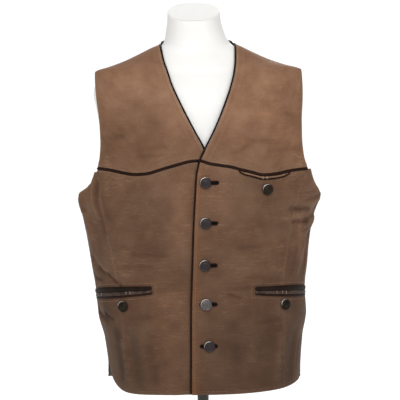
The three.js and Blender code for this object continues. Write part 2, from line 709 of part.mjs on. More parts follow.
// The two fronts, each a centre, a side and a yoke
function frontPanels() {
  const edgeTrim = PIPING / 2 + CLEAR;
  const bandTrim = BAND_WIDTH / 2 + CLEAR;
  return ["left", "right"].flatMap((side) => {
    const inner = side === "left" ? "first" : "last";
    const outer = side === "left" ? "last" : "first";
    const lift = side === "left" ? () => 0 : underlapLift;
    const centre = leftwards(side, frontCentrePlaces(side));
    const sidePiece = leftwards(side, frontSidePlaces(side));
    const yoke = leftwards(side, yokePlaces(side));
    return [
      panel(`front_${side}_centre`, centre, { [inner]: edgeTrim, [outer]: SEAM, top: bandTrim }, lift),
      panel(`front_${side}_side`, sidePiece, { [inner]: SEAM, [outer]: SEAM }),
      panel(`front_${side}_yoke`, yoke, { [inner]: edgeTrim, bottom: bandTrim, top: SEAM }, lift),
    ];
  });
}

// The back's top row runs along the neckline and both shoulder seams, so its places allow for them.
function backPanel() {
  const places = backPlaces(PIPING / 2 + CLEAR);
  return panel("back", places, { first: SEAM, last: SEAM, top: SEAM }, ventFlare);
}

// Places up the front edge of one side, from the hem or a height to the shoulder seam.
function edgePlaces(side, from) {
  const lift = side === "left" ? () => 0 : underlapLift;
  const column = [
    ...frontCentrePlaces(side).map((row) => row[0]),
    ...yokePlaces(side)
      .slice(1)
      .map((row) => row[0]),
  ];
  return column.filter(([, z]) => z >= from).map(([turn, z]) => [turn, z, lift(turn, z)]);
}

function neckAndEdgePiping() {
  const size = { width: PIPING, height: PIPING_HEIGHT, lift: -WALL / 2, shorten: 2 * CLEAR };
  const neckline = backPlaces(0)[BODY_ROWS + BACK_UPPER_ROWS];
  const middle = BACK_SHOULDER_COLUMNS;
  const behind = neckline.slice(middle, middle + 2 * BACK_NECK_COLUMNS + 1);
  return [
    strip("edge_piping_left", edgePlaces("left", HEM), size),
    strip("edge_piping_right", edgePlaces("right", UNDERLAP_PIPING_START), size),
    strip("back_neck_piping", behind, { ...size, shorten: PIPING }),
  ];
}

// Dark band in the yoke seam of one front, from beside the closing edge to the armhole.
function yokeBand(side) {
  const seam = steps(FRONT_COLUMNS).map((u) => yokeSeamPlace(side, u));
  const [from, to] = seam.map(([turn, z]) => sectionPoint(turn, z).x);
  const start = (BAND_START[side] - from) / (to - from);
  seam[0] = [0, 1].map((k) => lerp(seam[0][k], seam[1][k], start));
  const lift = side === "left" ? () => 0 : underlapLift;
  const places = seam.map(([turn, z]) => [turn, z, lift(turn, z)]);
  return strip(`yoke_band_${side}`, places, { width: BAND_WIDTH, height: BAND_HEIGHT, lift: BAND_LIFT });
}

// Button with a rimmed face and a shank behind it, its underside at z = 0.
function buttonGeometry(shank) {
  const r = BUTTON_DIAMETER / 2;
  const t = BUTTON_THICKNESS;
  const profile = [
    [0, -shank],
    [SHANK_DIAMETER / 2, -shank],
    [SHANK_DIAMETER / 2, 0],
    [r - BUTTON_BACK, 0],
    [r, t * 0.45],
    [r - BUTTON_RIM / 2, t * 0.9],
    [r - BUTTON_RIM, t * 0.7],
    [r / 2, t * 0.9],
    [0, t],
  ];
  return revolve(profile, BUTTON_SIDES);
}

function buttonOn(name, x, z, shank) {
  const turn = turnAt(x, z);
  const geometry = buttonGeometry(shank);
  const facing = outward(foldedPoint, turn, z);
  const tilt = new THREE.Quaternion().setFromUnitVectors(new THREE.Vector3(0, 0, 1), facing);
  geometry.applyQuaternion(tilt);
  const seat = onVest(turn, z, BUTTON_STANDOFF);
  geometry.translate(seat.x, seat.y, seat.z);
  return named(name, facingOut(indexed(geometry)), BUTTON_METAL);
}

// Round-ended outline, as offsets along and across it.
function slotOutline(length, width, ends = 4) {
  const r = width / 2;
  const half = length / 2 - r;
  const arc = (centre, from) =>
    steps(ends).map((t) => {
      const angle = from + Math.PI * t;
      return [centre + r * Math.cos(angle), r * Math.sin(angle)];
    });
  return [...arc(half, -Math.PI / 2), ...arc(-half, Math.PI / 2)];
}

// Dark bound edge of a buttonhole, on the leather and round its slit.
function buttonholeRim(name, x, z) {
  const at = ([across, up], lift) => onVest(turnAt(x + across, z + up), z + up, lift);
  const outer = slotOutline(HOLE_LENGTH + 2 * HOLE_RIM, HOLE_SLIT + 2 * HOLE_RIM);
  const inner = slotOutline(HOLE_LENGTH, HOLE_SLIT);
  const top = ON_PANEL + HOLE_RIM_HEIGHT;
  const loops = [
    outer.map((p) => at(p, ON_PANEL)),
    outer.map((p) => at(p, top)),
    inner.map((p) => at(p, top)),
    inner.map((p) => at(p, ON_PANEL)),
  ];
  const count = outer.length;
  const faces = [];
  for (let loop = 0; loop < loops.length; loop++) {
    const next = ((loop + 1) % loops.length) * count;
    for (let k = 0; k < count; k++) {
      const a = loop * count + k;
      const b = loop * count + ((k + 1) % count);
      const c = next + ((k + 1) % count);
      faces.push([a, b, c], [a, c, next + k]);
    }
  }
  return named(name, facingOut(geometryOf(loops.flat(), faces)), TRIM_LEATHER);
}

// Solid that cuts a buttonhole's slit through the leather.
function slitTool(x, z) {
  const outline = slotOutline(HOLE_LENGTH, HOLE_SLIT).map(([u, v]) => new THREE.Vector2(u, v));
  const cut = { depth: SLIT_CUT, bevelEnabled: false };
  const geometry = new THREE.ExtrudeGeometry(new THREE.Shape(outline), cut);
  const turn = turnAt(x, z);
  const facing = outward(foldedPoint, turn, z);
  const across = new THREE.Vector3(0, 0, 1).cross(facing).normalize();
  const up = facing.clone().cross(across);
  const middle = onVest(turn, z);
  geometry.translate(0, 0, -SLIT_CUT / 2);
  geometry.applyMatrix4(new THREE.Matrix4().makeBasis(across, up, facing).setPosition(middle));
  return solidOf(geometry);
}

// Cuts the five buttonholes through the left front.
function withButtonholes(piece) {
  const cut = FRONT_BUTTONS.reduce(
    (solid, { z, holeX }) => solid.subtract(slitTool(holeX, z)),
    solidOf(piece.geometry),
  );
  piece.geometry = geometryFrom(cut);
  return piece;
}

function buttonsAndHoles() {
  const sewnDeep = BUTTON_STANDOFF + UNDERLAP_DROP - CLEAR;
  const sewnOn = BUTTON_STANDOFF - CLEAR;
  return [
    ...FRONT_BUTTONS.map(({ z, x }, i) => buttonOn(`front_button_${i + 1}`, x, z, sewnDeep)),
    ...FRONT_BUTTONS.map(({ z, holeX }, i) => buttonholeRim(`buttonhole_${i + 1}`, holeX, z)),
    ...POCKET_BUTTONS.map(({ name, x, z }) => buttonOn(name, x, z, sewnOn)),
  ];
}

// The two welts of a lower pocket
function lowerPocket({ side, x, z, turn, toZ }) {
  const start = turnAt(x, z);
  const total = (t) => POCKET_INNER + POCKET_SPREAD * (t + Math.sin(Math.PI * t));
  const upper = (t) => UPPER_SHARE * total(t) - WELT_SLIT / 2;
  const lower = (t) => (1 - UPPER_SHARE) * total(t) - WELT_SLIT / 2;
  const end = turn * THREE.MathUtils.DEG2RAD;
  const welt = (part, width, offset) => {
    const places = steps(POCKET_STEPS).map((t) => [lerp(start, end, t), lerp(z, toZ, t) + offset(t)]);
    const shape = { width, height: WELT_BULGE, lift: ON_PANEL + WELT_BULGE / 2 };
    return strip(`pocket_${side}_${part}_welt`, places, shape);
  };
  return [
    welt("upper", upper, (t) => (total(t) - upper(t)) / 2),
    welt("lower", lower, (t) => (lower(t) - total(t)) / 2),
  ];
}

// Places along the left yoke seam between two distances from the middle, lower by drop.
function alongYoke(from, to, drop) {
  return steps(BREAST_STEPS).map((v) => {
    const t = (1 - Math.cos(Math.PI * v)) / 2;
    const x = lerp(from, to, t);
    const z = yokeSeam.left(x) - drop(t);
    return [turnAt(x, z), z];
  });
}

function breastPocket() {
  const piping = alongYoke(BREAST_START, BREAST_END, (t) => BREAST_DROP - BREAST_RISE * (2 * t - 1) ** 10);
  const from = BREAST_START + BREAST_WELT_INSET;
  const welt = alongYoke(from, BREAST_END - BREAST_WELT_INSET, () => BREAST_WELT_DROP);
  const shape = { width: BREAST_PIPING, height: BREAST_PIPING, lift: ON_PANEL + BREAST_PIPING / 2 };
  const flat = {
    width: BREAST_WELT,
    height: BREAST_WELT_HEIGHT,
    lift: ON_PANEL + BREAST_WELT_HEIGHT / 2,
    sides: 4,
    material: LEATHER,
  };
  return [strip("breast_pocket_piping", piping, shape), strip("breast_pocket_welt", welt, flat)];
}

function formRing({ z, half, front, back, side, shift, tilt }) {
  return Array.from({ length: FORM_SIDES }, (_, k) => {
    const angle = (2 * Math.PI * k) / FORM_SIDES;
    const s = Math.sin(angle);
    const c = Math.cos(angle);
    const x = shift + Math.sign(s) * half * Math.abs(s) ** FORM_CHEST;
    const y = -Math.sign(c) * (c > 0 ? front : back) * Math.abs(c) ** side;
    return new THREE.Vector3(x, y, z + tilt * y);
  });
}

const revolve = (profile, sides) =>
  new THREE.LatheGeometry(
    profile.map(([r, z]) => new THREE.Vector2(r, z)),
    sides,
  ).rotateX(Math.PI / 2);

const turned = (name, profile, sides) =>
  named(name, facingOut(indexed(revolve(profile, sides))), STAND_BLACK);

function formAndStand() {
  const base = BASE_DIAMETER / 2;
  const pole = POLE_DIAMETER / 2;
  const collar = COLLAR_DIAMETER / 2;
  const foot = BASE_THICKNESS + CLEAR;
  const collarTop = BASE_THICKNESS + COLLAR_HEIGHT;
  const poleTop = FORM_SECTIONS[0].z - CLEAR;
  return [
    named("dress_form", tubeGeometry(FORM_SECTIONS.map(formRing)), FORM_WHITE),
    turned(
      "stand_pole",
      [
        [0, foot],
        [pole, foot],
        [pole, poleTop],
        [0, poleTop],
      ],
      POLE_SIDES,
    ),
    turned(
      "stand_collar",
      [
        [pole + CLEAR, foot],
        [collar, foot],
        [collar, foot + COLLAR_HEIGHT / 4],
        [collar - COLLAR_TAPER, collarTop - COLLAR_BEVEL],
        [collar - COLLAR_TAPER - COLLAR_BEVEL, collarTop],
        [pole + CLEAR, collarTop],
        [pole + CLEAR, foot],
      ],
      POLE_SIDES,
    ),
    turned(
      "stand_base",
      [
        [0, 0],
        [base - BASE_BEVEL, 0],
        [base, BASE_BEVEL],
        [base, BASE_THICKNESS - BASE_BEVEL],
        [base - BASE_BEVEL, BASE_THICKNESS],
        [0, BASE_THICKNESS],
      ],
      BASE_SIDES,
    ),
  ];
}

const [leftCentre, ...otherPanels] = frontPanels();
const vest = new THREE.Group();
vest.add(
  withButtonholes(leftCentre),
  ...otherPanels,
  backPanel(),
  ...neckAndEdgePiping(),
  yokeBand("left"),
  yokeBand("right"),
  ...breastPocket(),
  ...LOWER_POCKETS.flatMap(lowerPocket),
  ...buttonsAndHoles(),
  ...formAndStand(),
);

export default vest;
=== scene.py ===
"""Looks of a brown leather vest, buttoned on its white dress form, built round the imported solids.

Lengths in the tables are millimetres, as a pattern cutter writes them. Meshes are in metres.
"""

import logging
import math
from collections.abc import Callable, Sequence
from dataclasses import dataclass, field
from enum import Enum
from functools import partial
from typing import NamedTuple

import bpy
import numpy as np
from mathutils import Euler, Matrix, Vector

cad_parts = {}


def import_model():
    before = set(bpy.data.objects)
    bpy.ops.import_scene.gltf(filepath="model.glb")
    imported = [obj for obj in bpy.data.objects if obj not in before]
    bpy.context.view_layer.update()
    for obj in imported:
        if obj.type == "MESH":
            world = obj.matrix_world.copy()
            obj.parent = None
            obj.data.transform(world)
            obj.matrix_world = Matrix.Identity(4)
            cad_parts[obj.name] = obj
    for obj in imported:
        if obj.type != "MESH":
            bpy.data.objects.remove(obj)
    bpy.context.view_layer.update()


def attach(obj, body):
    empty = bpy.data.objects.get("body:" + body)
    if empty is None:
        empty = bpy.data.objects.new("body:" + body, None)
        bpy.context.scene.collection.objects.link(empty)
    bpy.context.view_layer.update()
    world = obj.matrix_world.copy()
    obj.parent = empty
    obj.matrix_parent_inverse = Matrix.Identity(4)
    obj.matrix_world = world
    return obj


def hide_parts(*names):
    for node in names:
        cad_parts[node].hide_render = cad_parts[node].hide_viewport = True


log = logging.getLogger("vest")

Array = np.ndarray
Lift = Callable[[Array, Array], Array]

MM = 0.001
BODY = "root"
SIDE_SEAM = math.pi / 2

# Leather and seams
WALL = 2.0
SEAM = 0.02  # half the gap at a plain seam
PIPING = 4.0
PIPING_HEIGHT = 3.6
BAND_WIDTH = 5.4
BAND_HEIGHT = 3.4
BAND_BACK_DEPTH = 3.0  # depth of the lining behind the band
CLEAR = 0.3
UNDERLAP_DROP = 4.4  # how far the right front lies inside the left one
UNDERLAP_RAMP = (-34.0, -4.0)
ON_PANEL = 0.5  # height of trim over the leather's face

# Heights of the vest
HEM = 240.0
HEM_DROP = 6.5
ARMPIT = 632.0
SIDE_PANEL_TOP = 673.0
UNDERLAP_PIPING_START = 695.0
SHOULDER_POINT = 895.5
NECK_POINT = 953.5
BACK_NECK = 969.5
VENT_TOP = 300.0
CORNER_RADIUS = 30.0
SIDE_GIRTH = 1.7
FOLD_FADE = 0.4  # share of its depth that a fold loses towards its second point
FOLD_GIRTH = 3.0  # millimetres round the body in one degree of turn
VENT_FLARE = 5.0
VENT_RISE = 6.0
VENT_GAPE = 9.0  # degrees that the wearer's right vent stands open at the hem
HEM_FADE = 60.0  # how far above the vents the sag of the hem reaches
PANEL_CORNER_TOP = 14.0  # a side panel reaches at most this far above its top at the armhole
BACK_SHARE = 0.55  # share of the back's rows below the armpits
NECK_CURVE = 5  # power of the back neckline: flat in the middle, steep at its ends
CREASE_FADE = 0.3
BODY_SHADES = (0.43, 0.76)  # depth of colour at the hem and at the chest
YOKE_SHADES = (0.83, 1.24)  # depth of colour on the yokes, from their seam to the shoulders
CREASE_SHADE = 0.09  # how much darker the leather is for each millimetre of trough
FLARE_SPAN = 24.0
VENT_SHARES = (0.55, 0.15)  # share of the flare at the wearer's right vent and at the left one
HEM_POINT_DROP = 4.5  # the right front hangs lower in one place, at this turn, over this span
HEM_POINT_TURN = -44.0
HEM_POINT_SPAN = 20.0
RIGHT_CORNER = 1.85  # how much rounder the corner at the right vent is


class Side(Enum):
    """Side of the wearer's body."""

    LEFT = 1
    RIGHT = -1

    @property
    def word(self) -> str:
        """Name of the side as the part's nodes have it."""
        return self.name.lower()


def table(kind: type, *rows: tuple) -> tuple:
    """Rows of a table, with the columns of their kind."""
    return tuple(kind(*row) for row in rows)


class Section(NamedTuple):
    """Level section of the worn vest."""

    z: float
    half: float
    front: float
    back: float
    shift: float
    chest: float
    side: float


VEST_SECTIONS = table(
    Section,
    (200, 204.5, 127, 119, 4.3, 0.8, 1.2),
    (262, 205.5, 127, 119, 4.3, 0.8, 1.2),
    (333, 212, 127.5, 117, 3.3, 0.8, 1.22),
    (384, 222.4, 128, 112, 1.2, 0.8, 1.24),
    (435, 223.3, 128, 108, -2.2, 0.8, 1.26),
    (486, 229.9, 129, 109, -3, 0.81, 1.3),
    (537, 236.3, 130, 114, -4.2, 0.82, 1.35),
    (588, 246.3, 131, 118.5, -3.8, 0.83, 1.43),
    (632, 259, 132, 123, -1, 0.84, 1.5),
    (693, 253.5, 130, 125, 6.5, 0.85, 1.4),
    (770, 237.5, 118, 119, 4.9, 0.87, 1.2),
    (838, 227, 100, 105, 2.5, 0.9, 1.08),
    (880, 221.5, 86, 90, 0.8, 0.91, 1.02),
    (895.5, 218.8, 79, 81, 0.2, 0.91, 1),
    (899.5, 212.5, 78, 79, -1.5, 0.91, 1),
    (906.5, 187.5, 75, 76, -3, 0.91, 1),
    (919, 152, 70, 70, -3, 0.92, 1),
    (931.5, 124.5, 65.5, 66, -3, 0.94, 1),
    (944.5, 98, 61, 62.5, -2.5, 0.97, 1),
    (953.5, 79, 58, 60.5, -1.5, 1, 1),
    (961.5, 71.5, 57, 59.5, -4, 1, 1),
    (972.5, 68.5, 57, 59, -5, 1, 1),
)


class FormSection(NamedTuple):
    """Level section of the dress form, with how far it leans and slopes."""

    z: float
    half: float
    front: float
    back: float
    side: float
    shift: float
    tilt: float


FORM_SECTIONS = table(
    FormSection,
    (284, 149, 88, 88, 1, 0, 0),
    (288, 158, 97, 96, 1, 0, 0),
    (300, 164, 102, 101, 1, 0, 0),
    (340, 167, 105, 103, 1, 0, 0),
    (400, 161, 103, 95, 1, 0, 0),
    (460, 156, 103, 91, 1, 0, 0),
    (530, 162, 110, 97, 1, 0, 0),
    (600, 173, 119, 107, 1, 0, 0),
    (660, 183, 122.5, 114, 1, 0, 0),
    (700, 193, 120, 117, 1, 0, 0),
    (740, 204, 113, 115, 1.05, 0, 0),
    (790, 214, 103, 109, 1.15, 0, 0),
    (822, 219.5, 96, 102, 1.25, 0, 0),
    (850, 221, 88.5, 95, 1.3, 0, 0),
    (874, 217, 79.5, 82, 1.25, 0, 0),
    (885.5, 210, 74.5, 75, 1.15, -0.5, 0),
    (894, 203.5, 72, 72, 1.05, -1.5, 0),
    (899.8, 195.5, 70.5, 70, 1, -2.5, 0),
    (903.6, 187, 69, 68.5, 1, -2.5, 0),
    (916.1, 152, 64.5, 63.5, 1, -2.5, 0),
    (928.6, 124.2, 59.5, 58, 1, -2.5, 0),
    (941, 96, 56.5, 53, 1, -2, 0),
    (949.5, 76, 54.5, 51, 1, -2, 0),
    (966, 65.5, 54, 50.5, 1, -4, 0.03),
    (985, 60.5, 55, 51, 1, -6, 0.18),
    (1004, 57, 56, 52, 1, -7, 0.34),
    (1023, 55.5, 56, 52, 1, -7.5, 0.48),
)


class Edge(NamedTuple):
    """Point of an edge seen from the front: its height and its x."""

    z: float
    x: float


CLOSING_EDGE = table(
    Edge,
    (200, -24.8),
    (243, -24.6),
    (330, -23),
    (407, -21.6),
    (509, -17),
    (583, -13.3),
    (637, -9.6),
    (679, -6.5),
    (695, -3),
    (707, 0.2),
    (716, 3.8),
    (733.6, 12.5),
    (765, 29),
    (814, 50.4),
    (863.6, 67.9),
    (889, 74),
    (915, 77.2),
    (958, 79),
)
UNDERLAP_EDGE = table(
    Edge,
    (200, 26),
    (583, 28),
    (650, 27),
    (690, 24),
    (712, 16),
    (733.6, 9.3),
    (765, -7.4),
    (814, -32),
    (863.6, -53.9),
    (889, -62),
    (915, -70.5),
    (940, -76),
    (958, -80),
)
PRINCESS_SEAM = table(
    Edge,
    (200, 168),
    (403, 168),
    (453, 169.5),
    (521, 181),
    (589, 195),
    (640, 206),
    (673, 214.5),
    (700, 221),
)


class SeamHeight(NamedTuple):
    """Height of the yoke seam on each front, by the distance from the form's middle."""

    x: float
    left: float
    right: float


YOKE_SEAM = table(
    SeamHeight,
    (-40, 708.6, 708),
    (0, 708.3, 708),
    (18, 702, 706.8),
    (40, 698, 701.2),
    (62, 694.5, 695.5),
    (84, 688.3, 689),
    (106, 682.6, 683),
    (130, 676.8, 681.5),
    (156, 678.5, 685),
    (182, 683.5, 690.5),
    (204, 686, 693.5),
    (224, 687, 695),
)


class ArmholePoint(NamedTuple):
    """Distance of the armhole's front and back edge from the middle of the vest."""

    z: float
    front: float
    back: float


ARMHOLE = table(
    ArmholePoint,
    (632, 259, 259),
    (643, 252.3, 252.8),
    (655, 241.8, 243.8),
    (668, 233.5, 236),
    (681, 227.8, 231),
    (693, 224.6, 227.5),
    (717, 217.6, 221),
    (755, 213.8, 217.5),
    (780, 213.6, 217),
    (804, 214.6, 217.5),
    (829, 217, 218.3),
    (855, 218.6, 219),
    (880, 218.9, 219),
    (904, 218.3, 218.3),
    (960, 218.3, 218.3),
)


class Fold(NamedTuple):
    """Soft ridge or, with a negative depth, trough between two points, by turn and height."""

    turn: float
    z: float
    to_turn: float
    to_z: float
    depth: float
    width: float


FOLDS = table(
    Fold,
    (88, 606, 60, 592, -4, 11),
    (88, 578, 64, 566, 3, 11),
    (80, 545, 66, 468, -4, 12),
    (-66, 672, -58, 545, -4, 13),
    (-76, 640, -70, 520, 3.5, 12),
    (-74, 505, -52, 462, -4.5, 11),
    (-78, 394, -60, 382, -3.5, 10),
    (-44, 365, -38, 262, -4, 16),
    (31, 350, 27, 262, -3, 15),
    (60, 345, 56, 262, -3.5, 13),
    (108, 600, 135, 560, -4.5, 13),
    (-108, 606, -132, 570, -4.5, 13),
    (150, 470, 140, 300, -5, 17),
    (-152, 480, -140, 290, -5, 17),
    (178, 430, 172, 262, 4.5, 19),
    (114, 420, 140, 446, -4, 12),
    (-112, 404, -138, 436, -4, 12),
)

# Smaller creases, placed by hand from the photo and, at the back and the sides, like them
CREASES = table(
    Fold,
    # under the wearer's left arm, where the leather is pushed together
    (86, 634, 58, 622, -1.8, 4.5),
    (67, 600, 45, 607, -2.6, 4.5),
    (68, 577, 50, 579, -2.6, 4.5),
    (56, 589, 40, 586, 1.2, 4.5),
    (84, 620, 66, 613, 1.2, 5),
    (87, 592, 63, 580, -1.9, 4.5),
    (78, 566, 61, 557, -1.3, 4),
    (86, 556, 70, 540, -1.7, 5),
    (66, 640, 50, 634, -0.9, 4),
    (62, 606, 47, 602, -0.9, 4),
    # the upright fold beside the left pocket
    (70, 528, 62, 474, 1.6, 6),
    (76, 500, 71, 452, -1.5, 5),
    (58, 520, 52, 470, -0.9, 6),
    # under the wearer's right arm and down from the yoke
    (-60, 668, -55, 596, 1.7, 6),
    (-54, 664, -50, 560, -1.5, 6),
    (-84, 622, -68, 606, -1.5, 4.5),
    (-86, 592, -72, 582, -1.3, 4.5),
    (-80, 560, -66, 548, 1.1, 5),
    (-48, 640, -44, 590, -0.9, 7),
    # the slanted creases above and below the right pocket
    (-80, 470, -64, 461, -1.8, 4),
    (-66, 485, -53, 473, -2.6, 4.5),
    (-53, 474, -42, 453, -3.2, 3.8),
    (-74, 461, -62, 461, -2.2, 3.6),
    (-64, 391, -53, 381, -2.8, 4.2),
    (11, 437, 16, 429, -1.8, 3.2),
    (-60, 486, -49, 470, 1.2, 5),
    (-82, 388, -62, 381, -1.8, 4),
    (-78, 374, -64, 370, 1.1, 5),
    (-84, 430, -70, 424, -0.8, 4),
    # the waist and the skirts of the two fronts
    (-30, 520, -12, 516, -0.8, 5),
    (-38, 492, -20, 495, -0.7, 5),
    (-34, 440, -14, 446, -0.8, 6),
    (16, 530, 34, 536, -0.8, 5),
    (14, 447, 30, 452, -0.9, 5),
    (20, 470, 44, 462, -0.8, 6),
    (24, 376, 40, 380, -0.7, 5),
    (-22, 392, -40, 388, -0.7, 5),
    (-50, 330, -47, 262, 1.4, 9),
    (-26, 330, -24, 258, -1.1, 9),
    (14, 330, 13, 258, -0.9, 9),
    (44, 340, 42, 260, 1.3, 9),
    (70, 330, 66, 270, -1.2, 6),
    # the chest and the yokes
    (20, 748, 44, 742, -0.8, 5),
    (30, 726, 52, 730, -0.7, 5),
    (12, 722, 22, 744, -0.7, 4),
    (-14, 736, -30, 730, -0.7, 5),
    (-16, 720, -28, 718, -0.6, 4),
    (-40, 760, -56, 752, -0.8, 6),
    (48, 800, 62, 794, -0.7, 6),
    # the back: pulled in at the waist, with long hanging folds below it
    (100, 634, 120, 612, -1.7, 5),
    (98, 590, 118, 578, -1.5, 5),
    (-100, 630, -122, 616, -1.6, 5),
    (-98, 586, -116, 572, -1.5, 5),
    (128, 520, 150, 512, -1.2, 6),
    (-126, 534, -150, 518, -1.3, 6),
    (140, 470, 164, 464, -1.4, 6),
    (-138, 452, -166, 458, -1.4, 6),
    (168, 488, -174, 486, -1.1, 6),
    (120, 400, 150, 412, -1.3, 6),
    (-118, 392, -148, 408, -1.2, 6),
    (162, 380, 158, 258, -1.6, 9),
    (-164, 390, -160, 258, -1.7, 9),
    (126, 340, 122, 258, 1.5, 9),
    (-126, 346, -122, 258, 1.4, 9),
    (146, 300, 144, 250, 1.2, 8),
    (150, 800, 174, 792, -0.8, 7),
    (-150, 812, -172, 800, -0.8, 7),
    (128, 740, 146, 716, -1.1, 6),
    (-128, 744, -148, 720, -1.1, 6),
)

# Paler and, below zero, darker patches of the hide, placed by hand from the photo and, behind, like them
PATCHES = table(
    Fold,
    # the wearer's right front
    (-34, 810, -56, 740, -0.15, 36),
    (-24, 780, -34, 715, -0.1, 24),
    (-11, 810, -4, 735, 0.1, 14),
    (-58, 660, -56, 520, -0.12, 18),
    (-44, 620, -44, 500, -0.06, 20),
    (-26, 650, -24, 520, -0.13, 20),
    (-15, 620, -16, 520, -0.1, 13),
    (-4, 675, -6, 525, 0.2, 17),
    (-44, 470, -36, 430, 0.06, 22),
    (-60, 468, -62, 380, -0.24, 14),
    (-13, 420, -14, 252, 0.5, 36),
    (-53, 350, -52, 262, -0.46, 14),
    (-38, 340, -37, 262, -0.26, 14),
    # the wearer's left front
    (8, 700, 70, 700, 0.1, 22),
    (13, 810, 17, 730, 0.11, 20),
    (34, 800, 50, 725, 0.2, 30),
    (24, 800, 30, 860, 0.05, 22),
    (19, 670, 36, 575, -0.15, 26),
    (6, 660, 6, 610, 0.1, 9),
    (58, 582, 61, 515, 0.34, 14),
    (26, 535, 50, 535, 0.1, 15),
    (12, 372, 14, 315, -0.2, 17),
    (30, 400, 36, 262, -0.11, 26),
    (58, 402, 57, 262, -0.25, 26),
    # the back
    (150, 640, 168, 560, 0.08, 26),
    (-150, 600, -140, 520, -0.09, 26),
    (178, 800, 170, 740, -0.07, 34),
    (130, 360, 150, 300, -0.1, 24),
    (-162, 330, -150, 280, 0.08, 22),
)

# Buttons
BUTTON_DIAMETER = 23.0
BUTTON_THICKNESS = 3.2
SHANK_DIAMETER = 3.0
BUTTON_STANDOFF = 2.4
HOLE_LENGTH = 32.0
HOLE_SLIT = 3.8
HOLE_RIM = 2.2
HOLE_RIM_HEIGHT = 1.0


class FrontButton(NamedTuple):
    """Front button, with its buttonhole's middle and how it leans on its shank, in degrees."""

    z: float
    x: float
    hole_x: float
    lean: float
    lean_up: float
    rubbed: float = 0.0


FRONT_BUTTONS = table(
    FrontButton,
    (663, 11.8, 20.5, -3.0, 2.0, -0.05),
    (582, 10.8, 17.5, -2.0, 4.0, -0.03),
    (497, 8, 15, -4.0, 3.0, -0.06),
    (418, 9.2, 13.8, 2.0, 7.0, 0.09),
    (333, 14.6, 13.4, 1.0, -3.0, -0.08),
)


class PocketButton(NamedTuple):
    """Button sewn on below a pocket."""

    node: str
    x: float
    z: float
    lean: float
    lean_up: float


POCKET_BUTTONS = table(
    PocketButton,
    ("pocket_button_breast", 136, 647.5, -5.0, -3.0),
    ("pocket_button_left", 171, 409, -9.0, 2.0),
    ("pocket_button_right", -160, 411.5, 11.0, 4.0),
)


class LowerPocket(NamedTuple):
    """Lower pocket: where its welts start at the inner end and where they stop."""

    side: Side
    x: float
    z: float
    turn: float
    to_z: float


LOWER_POCKETS = table(
    LowerPocket,
    (Side.LEFT, 108, 442.1, 80, 428),
    (Side.RIGHT, -99, 447.4, -80, 427.4),
)
POCKET_INNER = 16.3
POCKET_SPREAD = 5.0
UPPER_SHARE = 0.44
WELT_SLIT = 1.0
WELT_BULGE = 3.0
BREAST_START = 80.0
BREAST_END = 182.5
BREAST_DROP = 8.8
BREAST_RISE = 3.9
BREAST_PIPING = 2.8
BREAST_WELT_DROP = 5.2
BREAST_WELT = 2.8
BREAST_WELT_HEIGHT = 2.0
BREAST_WELT_INSET = 9.0

# Dress form and stand
POLE_DIAMETER = 24.0
BASE_DIAMETER = 300.0
BASE_THICKNESS = 9.0
COLLAR_DIAMETER = 44.0
COLLAR_HEIGHT = 42.0


def lerp(a: Array, b: Array, t: Array) -> Array:
    """Value at the share t of the way from a to b."""
    return a + (b - a) * t


def smoothstep(x: Array, low: float, high: float) -> Array:
    """Smooth ramp from 0 at low to 1 at high."""
    t = np.clip((x - low) / (high - low), 0, 1)
    return t * t * (3 - 2 * t)


def bell(x: Array, span: float) -> Array:
    """Bump that is 1 at zero and has nearly gone at twice the span."""
    return np.exp(-((x / span) ** 2))


def unit(vectors: Array) -> Array:
    """The vectors, each one long."""
    return vectors / np.maximum(np.linalg.norm(vectors, axis=-1, keepdims=True), 1e-12)


def bisect(f: Callable[[Array], Array], low: Array, high: Array) -> Array:
    """Where a rising function passes zero.

    Args:
        f: Function of an array, one value a place.
        low: Lower limits.
        high: Upper limits.

    Returns:
        The zero of each place.
    """
    a = np.array(low, float)
    b = np.array(high, float)
    for _ in range(44):
        middle = (a + b) / 2
        below = f(middle) < 0
        a = np.where(below, middle, a)
        b = np.where(below, b, middle)
    return (a + b) / 2


@dataclass(frozen=True)
class Curve:
    """Monotone cubic curve through a table's points."""

    at: Array
    value: Array

    @classmethod
    def of(cls, table: Sequence[NamedTuple], column: str, key: str = "z") -> "Curve":
        """Curve of one column of a table over another."""
        return cls(*(np.array([getattr(row, name) for row in table], float) for name in (key, column)))

    def __call__(self, x: Array) -> Array:
        """Value of the curve at each x, held beyond its ends."""
        secant = np.diff(self.value) / np.diff(self.at)
        before = np.concatenate([secant[:1], secant])
        after = np.concatenate([secant, secant[-1:]])
        total = before + after
        mean = 2 * before * after / np.where(total == 0, 1, total)
        slope = np.where(before * after <= 0, 0, mean)
        x = np.asarray(x, float)
        i = np.clip(np.searchsorted(self.at, x) - 1, 0, len(secant) - 1)
        span = self.at[i + 1] - self.at[i]
        t = np.clip((x - self.at[i]) / span, 0, 1)
        rest = 1 - t
        return (
            self.value[i] * (1 + 2 * t) * rest * rest
            + slope[i] * span * t * rest * rest
            + self.value[i + 1] * (3 - 2 * t) * t * t
            - slope[i + 1] * span * t * t * rest
        )


